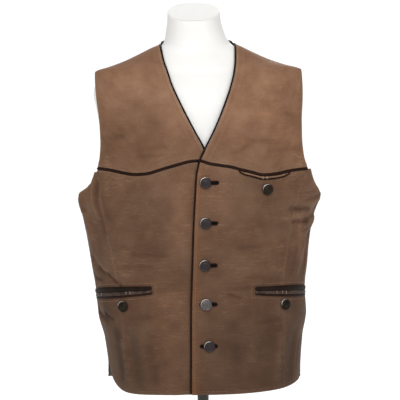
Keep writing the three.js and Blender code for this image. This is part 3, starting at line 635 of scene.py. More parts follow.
def fold_height(folds: Sequence[Fold], turn: Array, z: Array, fade: float) -> Array:
    """Height of soft folds at each place.

    Args:
        folds: Ridges and troughs.
        turn: Turn of each place, in radians.
        z: Height of each place, in millimetres.
        fade: Share of its depth that a fold loses towards its second point.

    Returns:
        Millimetres out of the leather's face.
    """
    degrees = np.degrees(turn)
    height = np.zeros(np.broadcast(turn, z).shape)
    for fold in folds:
        to_turn = (fold.to_turn - fold.turn + 180) % 360 - 180
        along_u = to_turn * FOLD_GIRTH
        along_z = fold.to_z - fold.z
        u = ((degrees - fold.turn + 180) % 360 - 180) * FOLD_GIRTH
        w = z - fold.z
        t = (u * along_u + w * along_z) / (along_u**2 + along_z**2)
        on = np.clip(t, 0, 1)
        off = np.hypot(u - on * along_u, w - on * along_z) / fold.width
        height = height + fold.depth * np.exp(-off * off) * (1 - fade * on)
    return height


class VestShape:
    """Outer face of the worn vest, as a function of turn and height."""

    def __init__(self) -> None:
        """Reads the curves from the tables."""
        columns = ("half", "front", "back", "shift", "chest", "side")
        self.of = {name: Curve.of(VEST_SECTIONS, name) for name in columns}
        self.edge = {Side.LEFT: Curve.of(CLOSING_EDGE, "x"), Side.RIGHT: Curve.of(UNDERLAP_EDGE, "x")}
        self.yoke_seam = {side: Curve.of(YOKE_SEAM, side.word, "x") for side in Side}
        self.princess = Curve.of(PRINCESS_SEAM, "x")
        self.armhole = {face: Curve.of(ARMHOLE, face) for face in ("front", "back")}

    def section(self, turn: Array, z: Array) -> Array:
        """Points of the level sections, without folds."""
        s = np.sin(turn)
        c = np.cos(turn)
        depth = np.where(c >= 0, -self.of["front"](z), self.of["back"](z))
        x = self.of["shift"](z) + np.sign(s) * self.of["half"](z) * np.abs(s) ** self.of["chest"](z)
        y = depth * np.abs(c) ** self.of["side"](z)
        return np.stack(np.broadcast_arrays(x, y, np.asarray(z, float)), axis=-1)

    def outward(self, point: Callable[[Array, Array], Array], turn: Array, z: Array) -> Array:
        """Unit normals of a surface given by turn and height."""
        step_turn = 0.03
        step_z = 1.5
        around = point(turn + step_turn, z) - point(turn - step_turn, z)
        up = point(turn, z + step_z) - point(turn, z - step_z)
        return unit(np.cross(around, up))

    def folded(self, turn: Array, z: Array) -> Array:
        """Points with the largest folds."""
        height = fold_height(FOLDS, turn, z, FOLD_FADE)[..., None]
        return self.section(turn, z) + self.outward(self.section, turn, z) * height

    def normal(self, turn: Array, z: Array) -> Array:
        """Normals of the folded face."""
        return self.outward(self.folded, turn, z)

    def on(self, turn: Array, z: Array, lift: Array = 0.0) -> Array:
        """Points of the outer face, moved out by lift."""
        turn, z = np.broadcast_arrays(np.asarray(turn, float), np.asarray(z, float))
        lift = np.broadcast_to(lift, turn.shape)[..., None]
        return self.folded(turn, z) + self.normal(turn, z) * lift

    def turn_at(self, x: Array, z: Array) -> Array:
        """Turn, from -90 to 90 degrees, at which the section of height z has this x."""
        off = x - self.of["shift"](z)
        share = np.minimum(np.abs(off) / self.of["half"](z), 1)
        return np.sign(off) * np.arcsin(share ** (1 / self.of["chest"](z)))

    def princess_turn(self, z: Array) -> Array:
        """Turn of the princess seam."""
        return self.turn_at(self.of["shift"](z) + self.princess(z), z)

    def armhole_turn(self, z: Array, face: str) -> Array:
        """Turn of the armhole's edge on the front or the back."""
        return self.turn_at(self.of["shift"](z) + self.armhole[face](z), z)

    def under_lift(self, side: Side) -> Lift:
        """How far a front dips: the right one goes under the left one."""
        if side is Side.LEFT:
            return lambda turn, z: np.zeros(np.broadcast(turn, z).shape)

        def dip(turn: Array, z: Array) -> Array:
            """How far the right front lies below the left one."""
            into = self.section(turn, z)[..., 0] - self.edge[Side.LEFT](z)
            return -UNDERLAP_DROP * smoothstep(into, *UNDERLAP_RAMP)

        return dip

    def vent_flare(self, turn: Array, z: Array) -> Array:
        """How far the back's lower corners stand out at the open vents, most on the wearer's right."""
        past = np.degrees(turn) - 180
        share = np.where(past > 0, *VENT_SHARES)
        corner = smoothstep(np.abs(past), 90 - FLARE_SPAN, 90) * share
        return VENT_FLARE * corner * smoothstep(VENT_TOP - z, 0, VENT_TOP - HEM)

    def hem_sag(self, turn: Array, z: Array) -> Array:
        """Height with the sag of the fronts' lower edge, which hangs lowest in the middle."""
        degrees = np.degrees(turn)
        low_point = HEM_POINT_DROP * bell(degrees - HEM_POINT_TURN, HEM_POINT_SPAN)
        sag = HEM_DROP * smoothstep(84 - np.abs(degrees), 0, 40) + low_point
        return z - sag * (1 - smoothstep(z, HEM, VENT_TOP + HEM_FADE))

    def creases(self, turn: Array, z: Array) -> Array:
        """Height of the smaller creases."""
        return fold_height(CREASES, turn, z, CREASE_FADE)

    def shade(self, turn: Array, z: Array) -> Array:
        """Depth of the leather's colour: paler on the yokes and the shoulders, darker to the hem."""
        seam = self.yoke_seam[Side.LEFT](np.abs(self.section(turn, z)[..., 0]))
        front = smoothstep(np.cos(turn), -0.1, 0.1)
        over = smoothstep(z - lerp(np.full(np.shape(z), 690.0), seam, front), -2, 6)
        body = lerp(*BODY_SHADES, smoothstep(z, HEM, 740))
        yoke = lerp(*YOKE_SHADES, smoothstep(z, 670, 860))
        shade = lerp(body, yoke, over)
        sunk = 1 + CREASE_SHADE * np.clip(self.creases(turn, z), -3.0, 1.6)
        return shade * sunk * (1 + fold_height(PATCHES, turn, z, 0.0))

    def front_turn(self, side: Side, share: Array, z: Array) -> Array:
        """Turn at a share of the way from a front's edge to its princess seam or armhole."""
        outer = side.value * np.minimum(self.princess_turn(z), self.armhole_turn(z, "front"))
        return lerp(self.turn_at(self.edge[side](z), z), outer, share)

    def yoke_seam_place(self, side: Side, share: Array) -> tuple[Array, Array]:
        """Turn and height on the yoke seam at that share."""
        z = np.full(np.shape(share), SIDE_PANEL_TOP)
        for _ in range(12):
            x = self.section(self.front_turn(side, share, z), z)[..., 0]
            z = self.yoke_seam[side](side.value * x)
        return self.front_turn(side, share, z), z

    def front_centre(self, side: Side, u: Array, v: Array) -> tuple[Array, Array]:
        """Places of a front's centre panel."""
        _, top = self.yoke_seam_place(side, u)
        z = lerp(HEM, top, v)
        turn = self.front_turn(side, u, z)
        return turn, self.hem_sag(turn, z)

    def front_side(self, side: Side, u: Array, v: Array) -> tuple[Array, Array]:
        """Places of a front's side panel, with its rounded corner beside the vent."""
        gape = math.radians(VENT_GAPE) if side is Side.RIGHT else 0.0

        def seam(z: Array) -> Array:
            """Turn of the side seam and, below it, of the vent's edge."""
            return SIDE_SEAM - gape * (1 - smoothstep(z, HEM, VENT_TOP))

        def turn_on(z: Array) -> Array:
            """Turn of each column at a height."""
            return lerp(self.princess_turn(z), seam(z), u)

        low = np.full(u.shape, ARMPIT)
        high = np.full(u.shape, SIDE_PANEL_TOP + PANEL_CORNER_TOP)
        top = bisect(lambda z: turn_on(z) - self.armhole_turn(z, "front"), low, high)
        z = lerp(HEM, np.where(u == 0, SIDE_PANEL_TOP, top), v)
        turn = turn_on(z)
        off = (seam(z) - np.abs(turn)) * np.degrees(1) * SIDE_GIRTH
        radius = CORNER_RADIUS * (RIGHT_CORNER if side is Side.RIGHT else 1.0)
        reach = np.maximum(radius - off, 0)
        rise = radius - np.sqrt(np.maximum(radius**2 - reach**2, 0))
        z = self.hem_sag(side.value * turn, z) + rise * (1 - smoothstep(z, HEM, VENT_TOP))
        return side.value * turn, z

    def ridge(self, x_at: Callable[[Array], Array], low: Array) -> Array:
        """Height at which a column, given by its x at each height, meets the shoulder seam."""

        def past(z: Array) -> Array:
            """How far the column lies outside the section."""
            return np.abs(x_at(z) - self.of["shift"](z)) - self.of["half"](z)

        return bisect(past, low, np.full(np.shape(low), NECK_POINT))

    def front_yoke(self, side: Side, u: Array, v: Array) -> tuple[Array, Array]:
        """Places of a front's yoke, up to the shoulder seam."""
        turn, low = self.yoke_seam_place(side, u)
        edge = self.edge[side]

        def outer(z: Array) -> Array:
            """Place of the armhole's edge."""
            return self.of["shift"](z) + side.value * self.armhole["front"](z)

        start = (self.section(turn, low)[..., 0] - edge(low)) / (outer(low) - edge(low))

        def x_at(z: Array) -> Array:
            """Place of each column, which spreads towards the shoulder."""
            return lerp(edge(z), outer(z), lerp(start, u, smoothstep(z, low, SHOULDER_POINT)))

        z = lerp(low, self.ridge(x_at, low), 1 - (1 - v) ** 2)
        return np.where(v == 1, side.value * SIDE_SEAM, self.turn_at(x_at(z), z)), z

    def neck_share(self, inset: float) -> float:
        """Share of the way from the middle of the back to its side at which the neckline ends."""
        return float((self.of["half"](NECK_POINT) + inset) / self.armhole["back"](NECK_POINT))

    def back(self, inset: float, u: Array, v: Array) -> tuple[Array, Array]:
        """Places of the back, from the left side seam round to the right one.

        Args:
            inset: How far the neck edge stops short of the neckline.
            u: Shares of the way across.
            v: Shares of the way up.

        Returns:
            Turns and heights.
        """

        def column(part: Array) -> Callable[[Array], Array]:
            """Place across of a share of the way to the side, at each height."""
            return lambda z: self.of["shift"](z) + part * self.armhole["back"](z)

        def outer(z: Array) -> Array:
            """Turn of the back's side edge."""
            return np.where(z <= ARMPIT, SIDE_SEAM, self.armhole_turn(z, "back"))

        across = 1 - 2 * u
        share = np.abs(across)
        neck = self.neck_share(inset)
        low = np.full(share.shape, ARMPIT)
        neck_point = self.ridge(column(neck), low)
        on_neck = share < neck - 1e-6
        neck_height = lerp(BACK_NECK - inset, neck_point, (share / neck) ** NECK_CURVE)
        top = np.where(on_neck, neck_height, self.ridge(column(share), low))
        t = np.clip((v - BACK_SHARE) / (1 - BACK_SHARE), 0, 1)
        upper = lerp(ARMPIT, top, 1 - (1 - t) ** 2)
        z = np.where(v < BACK_SHARE, lerp(HEM, ARMPIT, v / BACK_SHARE), upper)
        z = z + VENT_RISE * smoothstep(u, 0.93, 1.0) * (1 - smoothstep(z, HEM, VENT_TOP))
        split = SIDE_PANEL_TOP
        turn_share = self.turn_at(column(share)(split), split) / outer(split)
        turn = np.where(z <= split, turn_share * outer(z), self.turn_at(column(share)(z), z))
        turn = np.where((v == 1) & ~on_neck, SIDE_SEAM, turn)
        return math.pi - np.sign(across) * turn, z


def hex_colour(code: str) -> tuple[float, float, float, float]:
    """Linear colour of an sRGB hex code such as 8c6b55."""
    srgb = [int(code[i : i + 2], 16) / 255 for i in (0, 2, 4)]
    red, green, blue = (v / 12.92 if v <= 0.04045 else ((v + 0.055) / 1.055) ** 2.4 for v in srgb)
    return red, green, blue, 1.0


def add_node(
    tree: bpy.types.NodeTree,
    kind: str,
    inputs: dict | None = None,
    stops: Sequence[tuple[float, str]] = (),
    **settings: object,
) -> bpy.types.Node:
    """Adds a node to the tree of a material, a world or a modifier.

    Args:
        tree: The node tree.
        kind: Blender's name of the node's type.
        inputs: Values, output sockets or nodes, which give their first output, by input name or number.
        stops: Positions and hex colours, where the node is a colour ramp.
        settings: Properties of the node itself.

    Returns:
        The node.
    """
    node = tree.nodes.new(kind)
    for key, value in settings.items():
        setattr(node, key, value)
    for number, (position, code) in enumerate(stops):
        elements = node.color_ramp.elements
        stop = elements[number] if number < len(elements) else elements.new(position)
        stop.color = hex_colour(code)
        stop.position = position
    for key, value in (inputs or {}).items():
        if isinstance(value, bpy.types.Node):
            value = value.outputs[0]
        if isinstance(value, bpy.types.NodeSocket):
            tree.links.new(value, node.inputs[key])
        else:
            node.inputs[key].default_value = value
    return node


AddNode = Callable[..., bpy.types.Node]
NOISE = ("Vector", "Scale", "Detail", "Roughness", "Distortion")
RANGE = ("Value", "From Min", "From Max", "To Min", "To Max")


def per_mm(size: float) -> float:
    """Noise scale whose features are about this many millimetres across, in metre coordinates."""
    return 1 / (size * MM)


@dataclass(frozen=True)
class Finish:
    """Finish of a surface."""

    name: str

    def inputs(self, add: AddNode) -> dict:
        """Adds the finish's own nodes.

        Args:
            add: Adds a node to the material's tree.

        Returns:
            Inputs of the surface's shader.
        """
        raise NotImplementedError

    def build(self) -> bpy.types.Material:
        """Makes the finish a material.

        Returns:
            The material.
        """
        material = bpy.data.materials.new(self.name)
        material.use_nodes = True
        material.node_tree.nodes.clear()
        add = partial(add_node, material.node_tree)
        shader = add("ShaderNodeBsdfPrincipled", self.inputs(add))
        add("ShaderNodeOutputMaterial", {"Surface": shader})
        return material


@dataclass(frozen=True)
class WaxedNubuck(Finish):
    """Aniline cowhide, buffed on the grain side and waxed: matt, softly mottled, paler where rubbed."""

    name: str = "waxed_nubuck_cowhide"
    light: str = "83654f"
    middle: str = "6d4e3a"
    dark: str = "4b3021"
    rubbed: str = "9b7c65"
    rust: str = "6f3f20"
    pepper_mm: float = 2.2
    stroke_mm: float = 4.4
    mottle_mm: float = 90.0
    cloud_mm: float = 26.0
    patch_mm: float = 60.0
    grain_mm: float = 1.3
    stroke_stretch: float = 0.17
    streaked_z: tuple[float, float] = (0.69, 0.78)

    def inputs(self, add: AddNode) -> dict:
        """Soft clouds of wax, peppered with buffed pores, with fine pale strokes across the hide."""
        place = add("ShaderNodeTexCoord").outputs
        cut = place["UV"]
        level = add("ShaderNodeMapping", {"Vector": cut, "Scale": (self.stroke_stretch, 1.0, 1.0)})
        noises = (
            (place["Object"], self.mottle_mm, 2.0, 0.5, 0.0),
            (cut, self.cloud_mm, 4.0, 0.55, 0.0),
            (cut, self.pepper_mm, 4.0, 0.75, 0.0),
            (cut, self.patch_mm, 1.0, 0.5, 0.0),
            (level, self.stroke_mm, 2.0, 0.6, 0.9),
        )
        mottle, cloud, pepper, patch, fine = (
            add("ShaderNodeTexNoise", dict(zip(NOISE, (vector, per_mm(size), *rest))))
            for vector, size, *rest in noises
        )
        names = ("wear", "shade", "rust")
        wear, shade, rust = (
            add("ShaderNodeAttribute", attribute_name=name).outputs["Fac"] for name in names
        )
        tone = 0.07
        for value, weight in ((mottle, 0.3), (cloud, 0.24), (pepper, 0.32), (wear, 0.2)):
            tone = add("ShaderNodeMath", {0: value, 1: weight, 2: tone}, operation="MULTIPLY_ADD")
        dyes = ((0.28, self.dark), (0.47, self.middle), (0.64, self.light), (0.86, self.rubbed))
        dyed = add("ShaderNodeValToRGB", {"Fac": tone}, stops=dyes)
        # the strokes come in patches, and few of them are on the yokes
        height = add("ShaderNodeSeparateXYZ", {"Vector": place["Object"]}).outputs["Z"]
        ranges = (
            (patch, 0.42, 0.58, 0.15, 1.0),
            (height, *self.streaked_z, 1.0, 0.3),
            (fine, 0.53, 0.66, 0.0, 1.0),
            (cloud, 0.3, 0.7, 0.5, 0.74),
        )
        patched, below, strokes, rough = (add("ShaderNodeMapRange", dict(zip(RANGE, row))) for row in ranges)
        where = add("ShaderNodeMath", {0: patched, 1: below}, operation="MULTIPLY")
        strokes = add("ShaderNodeMath", {0: strokes, 1: where}, operation="MULTIPLY")
        pale = add("ShaderNodeMapRange", {"Value": strokes, "To Min": 0.97, "To Max": 1.34})
        depth = add("ShaderNodeMath", {0: pale, 1: shade}, operation="MULTIPLY")
        shaded = {0: 1.0, 6: dyed, 7: depth}
        colour = add("ShaderNodeMix", shaded, data_type="RGBA", blend_type="MULTIPLY").outputs[2]
        colour = add("ShaderNodeMix", {0: rust, 6: colour, 7: hex_colour(self.rust)}, data_type="RGBA")
        pores = {"Vector": cut, "Scale": per_mm(self.grain_mm), "Randomness": 1.0}
        grain = add("ShaderNodeTexVoronoi", pores, feature="SMOOTH_F1")
        bump = {}
        for height, strength, distance in (
            (strokes, 0.7, 0.0008),
            (grain, 0.35, 0.0003),
            (pepper, 0.4, 0.0004),
            (cloud, 0.5, 0.0015),
        ):
            relief = {"Strength": strength, "Distance": distance, "Height": height}
            bump = {"Normal": add("ShaderNodeBump", relief | bump)}
        return bump | {
            "Base Color": colour.outputs[2],
            "Roughness": rough,
            "IOR": 1.45,
            "Specular IOR Level": 0.15,
            "Sheen Weight": 0.02,
            "Sheen Roughness": 0.5,
            "Sheen Tint": hex_colour("c9a888"),
        }


@dataclass(frozen=True)
class SmoothTrimLeather(Finish):
    """Dark, glazed calf leather of the piping and welts: smooth, with a soft shine on its round."""

    dark: str = "140804"
    light: str = "28140b"
    roughness: float = 0.52
    cloud_mm: float = 9.0
    grain_mm: float = 1.1

    def inputs(self, add: AddNode) -> dict:
        """Nearly black brown, a little paler where it is handled."""
        place = add("ShaderNodeTexCoord").outputs["Object"]
        cloud = add("ShaderNodeTexNoise", {"Vector": place, "Scale": per_mm(self.cloud_mm), "Detail": 4.0})
        dyed = add("ShaderNodeValToRGB", {"Fac": cloud}, stops=((0.35, self.dark), (0.72, self.light)))
        pores = {"Vector": place, "Scale": per_mm(self.grain_mm)}
        grain = add("ShaderNodeTexVoronoi", pores, feature="SMOOTH_F1")
        handled = (cloud, 0.3, 0.7, self.roughness - 0.08, self.roughness + 0.12)
        return {
            "Base Color": dyed,
            "Roughness": add("ShaderNodeMapRange", dict(zip(RANGE, handled))),
            "Normal": add("ShaderNodeBump", {"Strength": 0.35, "Distance": 0.0002, "Height": grain}),
            "IOR": 1.45,
            "Specular IOR Level": 0.1,
        }


@dataclass(frozen=True)
class SatinLining(Finish):
    """Dark acetate lining inside the vest, woven in a fine twill: it shows a slanted glint."""

    name: str = "acetate_lining_twill"
    colour: str = "100c0a"
    twill_mm: float = 0.9
    twill_degrees: float = 28.0
    sheen_mm: float = 30.0

    def inputs(self, add: AddNode) -> dict:
        """Fine slanted ribs, drawn coarser than the real 0.3 mm so that they show."""
        cut = add("ShaderNodeTexCoord").outputs["UV"]
        slant = (0.0, 0.0, math.radians(self.twill_degrees))
        slanted = add("ShaderNodeMapping", {"Vector": cut, "Rotation": slant})
        twill = {"Vector": slanted, "Scale": per_mm(self.twill_mm) / (2 * math.pi), "Distortion": 0.4}
        ribs = add("ShaderNodeTexWave", twill).outputs["Fac"]
        soft = add("ShaderNodeTexNoise", {"Vector": cut, "Scale": per_mm(self.sheen_mm)})
        return {
            "Base Color": hex_colour(self.colour),
            "Roughness": add("ShaderNodeMapRange", {"Value": soft, "To Min": 0.34, "To Max": 0.56}),
            "Normal": add("ShaderNodeBump", {"Strength": 0.3, "Distance": 0.0001, "Height": ribs}),
            "Specular IOR Level": 0.25,
        }


@dataclass(frozen=True)
class Gunmetal(Finish):
    """Die-cast zinc button, plated black and rubbed: dark in the face, bright on the rim."""

    name: str = "antiqued_gunmetal_zinc"
    dark: str = "332e2f"
    bright: str = "d2cdc8"
    fleck_mm: float = 1.8

    def inputs(self, add: AddNode) -> dict:
        """Plating that is rubbed through where the attribute shine is high."""
        place = add("ShaderNodeTexCoord").outputs["Object"]
        fleck = add("ShaderNodeTexNoise", dict(zip(NOISE, (place, per_mm(self.fleck_mm), 5.0, 0.7))))
        shine = add("ShaderNodeAttribute", attribute_name="shine").outputs["Fac"]
        rubbed = add("ShaderNodeMath", {0: fleck, 1: 0.35, 2: shine}, operation="MULTIPLY_ADD")
        plating = ((0.2, self.dark), (0.95, self.bright))
        return {
            "Base Color": add("ShaderNodeValToRGB", {"Fac": rubbed}, stops=plating),
            "Metallic": 1.0,
            "Roughness": add("ShaderNodeMapRange", {"Value": rubbed, "To Min": 0.44, "To Max": 0.22}),
            "Normal": add("ShaderNodeBump", {"Strength": 0.25, "Distance": 0.0001, "Height": fleck}),
        }


@dataclass(frozen=True)
class SewingThread(Finish):
    """Bonded polyester thread: round, twisted, a little shiny."""

    colour: str
    shade: str
    twist_mm: float = 0.9
    dye_mm: float = 7.0

    def inputs(self, add: AddNode) -> dict:
        """Slanted twist over a slightly uneven dye."""
        place = add("ShaderNodeTexCoord").outputs["Object"]
        dye = add("ShaderNodeTexNoise", {"Vector": place, "Scale": per_mm(self.dye_mm), "Detail": 2.0})
        mixed = {0: dye, 6: hex_colour(self.shade), 7: hex_colour(self.colour)}
        wave = {"Vector": place, "Scale": per_mm(self.twist_mm) / (2 * math.pi)}
        twist = add("ShaderNodeTexWave", wave, bands_direction="DIAGONAL").outputs["Fac"]
        return {
            "Base Color": add("ShaderNodeMix", mixed, data_type="RGBA").outputs[2],
            "Roughness": 0.55,
            "Normal": add("ShaderNodeBump", {"Strength": 0.4, "Distance": 0.0001, "Height": twist}),
            "Sheen Weight": 0.15,
        }


@dataclass(frozen=True)
class MouldedShell(Finish):
    """White glass-fibre form, gel-coated: even, with a soft gloss and a faint orange peel."""

    name: str = "gelcoat_white_glass_fibre"
    colour: str = "e3e2e0"
    scuffed: str = "dbdad6"
    patch_mm: float = 55.0
    peel_mm: float = 5.0

    def inputs(self, add: AddNode) -> dict:
        """White gloss with a few dull, handled patches."""
        place = add("ShaderNodeTexCoord").outputs["Object"]
        dull = add("ShaderNodeTexNoise", {"Vector": place, "Scale": per_mm(self.patch_mm), "Detail": 4.0})
        peel = add("ShaderNodeTexNoise", {"Vector": place, "Scale": per_mm(self.peel_mm), "Detail": 1.0})
        mixed = {0: dull, 6: hex_colour(self.colour), 7: hex_colour(self.scuffed)}
        return {
            "Base Color": add("ShaderNodeMix", mixed, data_type="RGBA").outputs[2],
            "Roughness": add("ShaderNodeMapRange", {"Value": dull, "To Min": 0.34, "To Max": 0.5}),
            "Normal": add("ShaderNodeBump", {"Strength": 0.12, "Distance": 0.0003, "Height": peel}),
            "IOR": 1.5,
            "Coat Weight": 0.08,
            "Coat Roughness": 0.3,
        }


@dataclass(frozen=True)
class PowderCoatedSteel(Finish):
    """Black powder-coated steel of the pole, collar and base: satin, with a fine pebble."""

    name: str = "black_powder_coated_steel"
    colour: str = "121212"
    worn: str = "26241f"
    pebble_mm: float = 1.2
    dust_mm: float = 35.0

    def inputs(self, add: AddNode) -> dict:
        """Satin black with a pebble of about a millimetre."""
        place = add("ShaderNodeTexCoord").outputs["Object"]
        pebble = add("ShaderNodeTexNoise", {"Vector": place, "Scale": per_mm(self.pebble_mm), "Detail": 2.0})
        dust = add("ShaderNodeTexNoise", {"Vector": place, "Scale": per_mm(self.dust_mm), "Detail": 5.0})
        mixed = {0: dust, 6: hex_colour(self.colour), 7: hex_colour(self.worn)}
        return {
            "Base Color": add("ShaderNodeMix", mixed, data_type="RGBA").outputs[2],
            "Roughness": add("ShaderNodeMapRange", {"Value": dust, "To Min": 0.38, "To Max": 0.6}),
            "Normal": add("ShaderNodeBump", {"Strength": 0.3, "Distance": 0.0002, "Height": pebble}),
        }


@dataclass(frozen=True)
class StudioPaper(Finish):
    """White paper of the studio floor: matt, lit from below so that it is as white as the backdrop."""

    name: str = "white_studio_paper"
    colour: str = "fafaf9"
    glow: float = 0.2
    fibre_mm: float = 3.0

    def inputs(self, add: AddNode) -> dict:
        """Matt white."""
        place = add("ShaderNodeTexCoord").outputs["Object"]
        fibre = add("ShaderNodeTexNoise", {"Vector": place, "Scale": per_mm(self.fibre_mm), "Detail": 4.0})
        return {
            "Base Color": hex_colour(self.colour),
            "Roughness": 0.9,
            "Normal": add("ShaderNodeBump", {"Strength": 0.05, "Distance": 0.0003, "Height": fibre}),
            "Emission Color": hex_colour(self.colour),
            "Emission Strength": self.glow,
        }


class Finishes:
    """Every finish of the vest, its form and its stand."""

    def __init__(self) -> None:
        """Builds the materials once."""
        self.leather = WaxedNubuck().build()
        self.piping = SmoothTrimLeather("glazed_calf_piping").build()
        self.welt = SmoothTrimLeather("glazed_calf_welt", "110905", "21130b", 0.5).build()
        self.lower_welt = SmoothTrimLeather("rubbed_calf_lower_welt", "2a1e19", "51423a", 0.42).build()
        self.slit = SmoothTrimLeather("black_pocket_mouth_calf", "060403", "0d0806", 0.7).build()
        self.lining = SatinLining().build()
        self.metal = Gunmetal().build()
        self.pocket_metal = Gunmetal("blackened_pocket_gunmetal", "29231e").build()
        self.thread = SewingThread("brown_polyester_thread", "8f6c52", "6a4a36").build()
        self.edge_thread = SewingThread("tan_polyester_thread", "a8744c", "80522f").build()
        self.knot_thread = SewingThread("pale_polyester_thread", "9c8571", "786252").build()
        self.shell = MouldedShell().build()
        self.steel = PowderCoatedSteel().build()


def mesh_piece(
    name: str,
    points: Array,
    faces: Sequence[Sequence[int]],
    materials: Sequence[bpy.types.Material],
    slots: Array | None = None,
) -> bpy.types.Object:
    """Makes an object from points in millimetres.

    Args:
        name: Name of the piece.
        points: Points, one a row.
        faces: Corner numbers of each face, anticlockwise from outside.
        materials: Materials of the piece.
        slots: Number of each face's material, or none for the first one.

    Returns:
        The object, at the origin, with smooth shading.
    """
    mesh = bpy.data.meshes.new(name)
    mesh.from_pydata((np.asarray(points).reshape(-1, 3) * MM).tolist(), [], [list(f) for f in faces])
    for material in materials:
        mesh.materials.append(material)
    if slots is not None:
        mesh.polygons.foreach_set("material_index", np.asarray(slots, np.int32))
    mesh.shade_smooth()
    mesh.update()
    piece = bpy.data.objects.new(name, mesh)
    bpy.context.scene.collection.objects.link(piece)
    return piece


def point_attribute(piece: bpy.types.Object, name: str, values: Array) -> None:
    """Stores one number a point under a name that a material reads."""
    attribute = piece.data.attributes.new(name, "FLOAT", "POINT")
    attribute.data.foreach_set("value", np.asarray(values, np.float32).ravel())


def corner_map(piece: bpy.types.Object, places: Array) -> None:
    """Stores a UV map, in metres on the flat cut, from one place a point."""
    layer = piece.data.uv_layers.new(name="cut")
    corners = np.empty(len(piece.data.loops), np.int32)
    piece.data.loops.foreach_get("vertex_index", corners)
    layer.data.foreach_set("uv", (np.asarray(places).reshape(-1, 2)[corners] * MM).astype(np.float32).ravel())


def evaluated_copy(piece: bpy.types.Object) -> bpy.types.Mesh:
    """Plain mesh of an object with its modifiers applied."""
    bpy.context.view_layer.update()
    depsgraph = bpy.context.evaluated_depsgraph_get()
    return bpy.data.meshes.new_from_object(piece.evaluated_get(depsgraph), depsgraph=depsgraph)


def grid_faces(rows: int, columns: int, start: int = 0, flip: bool = False) -> Array:
    """Faces of a grid of points, a row after the other."""
    i, j = np.meshgrid(np.arange(rows - 1), np.arange(columns - 1), indexing="ij")
    a = (start + i * columns + j).ravel()
    quads = np.stack([a, a + 1, a + columns + 1, a + columns], axis=1)
    return quads[:, ::-1] if flip else quads


def inside_out(points: Array, faces: Sequence[Sequence[int]]) -> bool:
    """Whether a closed mesh has its faces pointing inwards."""
    points = np.asarray(points).reshape(-1, 3)
    volume = 0.0
    for face in faces:
        corners = points[list(face)]
        for k in range(1, len(corners) - 1):
            volume += float(np.dot(corners[0], np.cross(corners[k], corners[k + 1])))
    return volume < 0


def closed_rings(rings: Array, looped: bool = False) -> list[list[int]]:
    """Faces of a tube through rings of points, facing out.

    Args:
        rings: Points by ring and side.
        looped: Whether the last ring joins the first. Otherwise a face closes each end.

    Returns:
        Point numbers of each face.
    """
    count, sides = rings.shape[:2]
    faces = []
    for i in range(count if looped else count - 1):
        low, high = i * sides, (i + 1) % count * sides
        for k in range(sides):
            after = (k + 1) % sides
            faces.append([low + k, low + after, high + after, high + k])
    if not looped:
        faces.append([*range(sides)][::-1])
        faces.append([(count - 1) * sides + k for k in range(sides)])
    return [face[::-1] for face in faces] if inside_out(rings, faces) else faces


@dataclass
class Sweep:
    """Rod or strip of an oval section along a path on the leather."""

    width: float
    height: float
    sides: int = 14
    squareness: float = 2.0
    round_ends: float = 0.0

    def rings(self, centres: Array, normals: Array, scale: Array | None = None) -> Array:
        """Rings of points round a path.

        Args:
            centres: Points of the path, in millimetres.
            normals: The leather's normals there.
            scale: Share of the width at each point, or none for all of it.

        Returns:
            Points by ring and side.
        """
        along = unit(np.gradient(centres, axis=0))
        across = unit(np.cross(along, normals))
        up = np.cross(across, along)
        angle = (np.arange(self.sides) + 0.5) * 2 * math.pi / self.sides
        power = 2 / self.squareness
        c = np.sign(np.cos(angle)) * np.abs(np.cos(angle)) ** power
        s = np.sign(np.sin(angle)) * np.abs(np.sin(angle)) ** power
        share = np.ones(len(centres)) if scale is None else scale
        rise = np.ones(len(centres))
        if self.round_ends > 0:
            step = np.linalg.norm(np.diff(centres, axis=0), axis=1)
            reach = np.concatenate([[0], np.cumsum(step)])
            into = np.minimum(reach, reach[-1] - reach) / self.round_ends
            rise = np.sqrt(np.clip(1 - (1 - np.clip(into, 0, 1)) ** 2, 0.02, 1))
        wide = (share * rise * self.width / 2)[:, None, None]
        high = (rise * self.height / 2)[:, None, None]
        return (
            centres[:, None, :]
            + across[:, None, :] * wide * c[None, :, None]
            + up[:, None, :] * high * s[None, :, None]
        )

    def piece(
        self,
        name: str,
        path: tuple[Array, Array],
        material: bpy.types.Material,
        *nodes: str,
        scale: Array | None = None,
    ) -> None:
        """Makes the strip a piece of trim.

        Args:
            name: Name of the piece.
            path: Points of its path, and the leather's normals there.
            material: Its finish.
            nodes: Nodes that it stands for.
            scale: Share of the width at each point, or none for all of it.
        """
        rings = self.rings(*path, scale)
        ride_for(mesh_piece(name, rings, closed_rings(rings), [material]), "dark_trim_leather", *nodes)


def ride_for(piece: bpy.types.Object, slot: str, *nodes: str) -> bpy.types.Object:
    """Lets a piece ride on the part, in a slot's finish, for the nodes that it stands for."""
    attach(piece, BODY)
    if nodes:
        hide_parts(*nodes)
    log.info("%s: %d faces", piece.name, len(piece.data.polygons))
    return piece


class EdgeKind(Enum):
    """How an edge of a leather piece is finished."""

    TURNED = "turned"
    SEAMED = "seamed"
    PIPED = "piped"


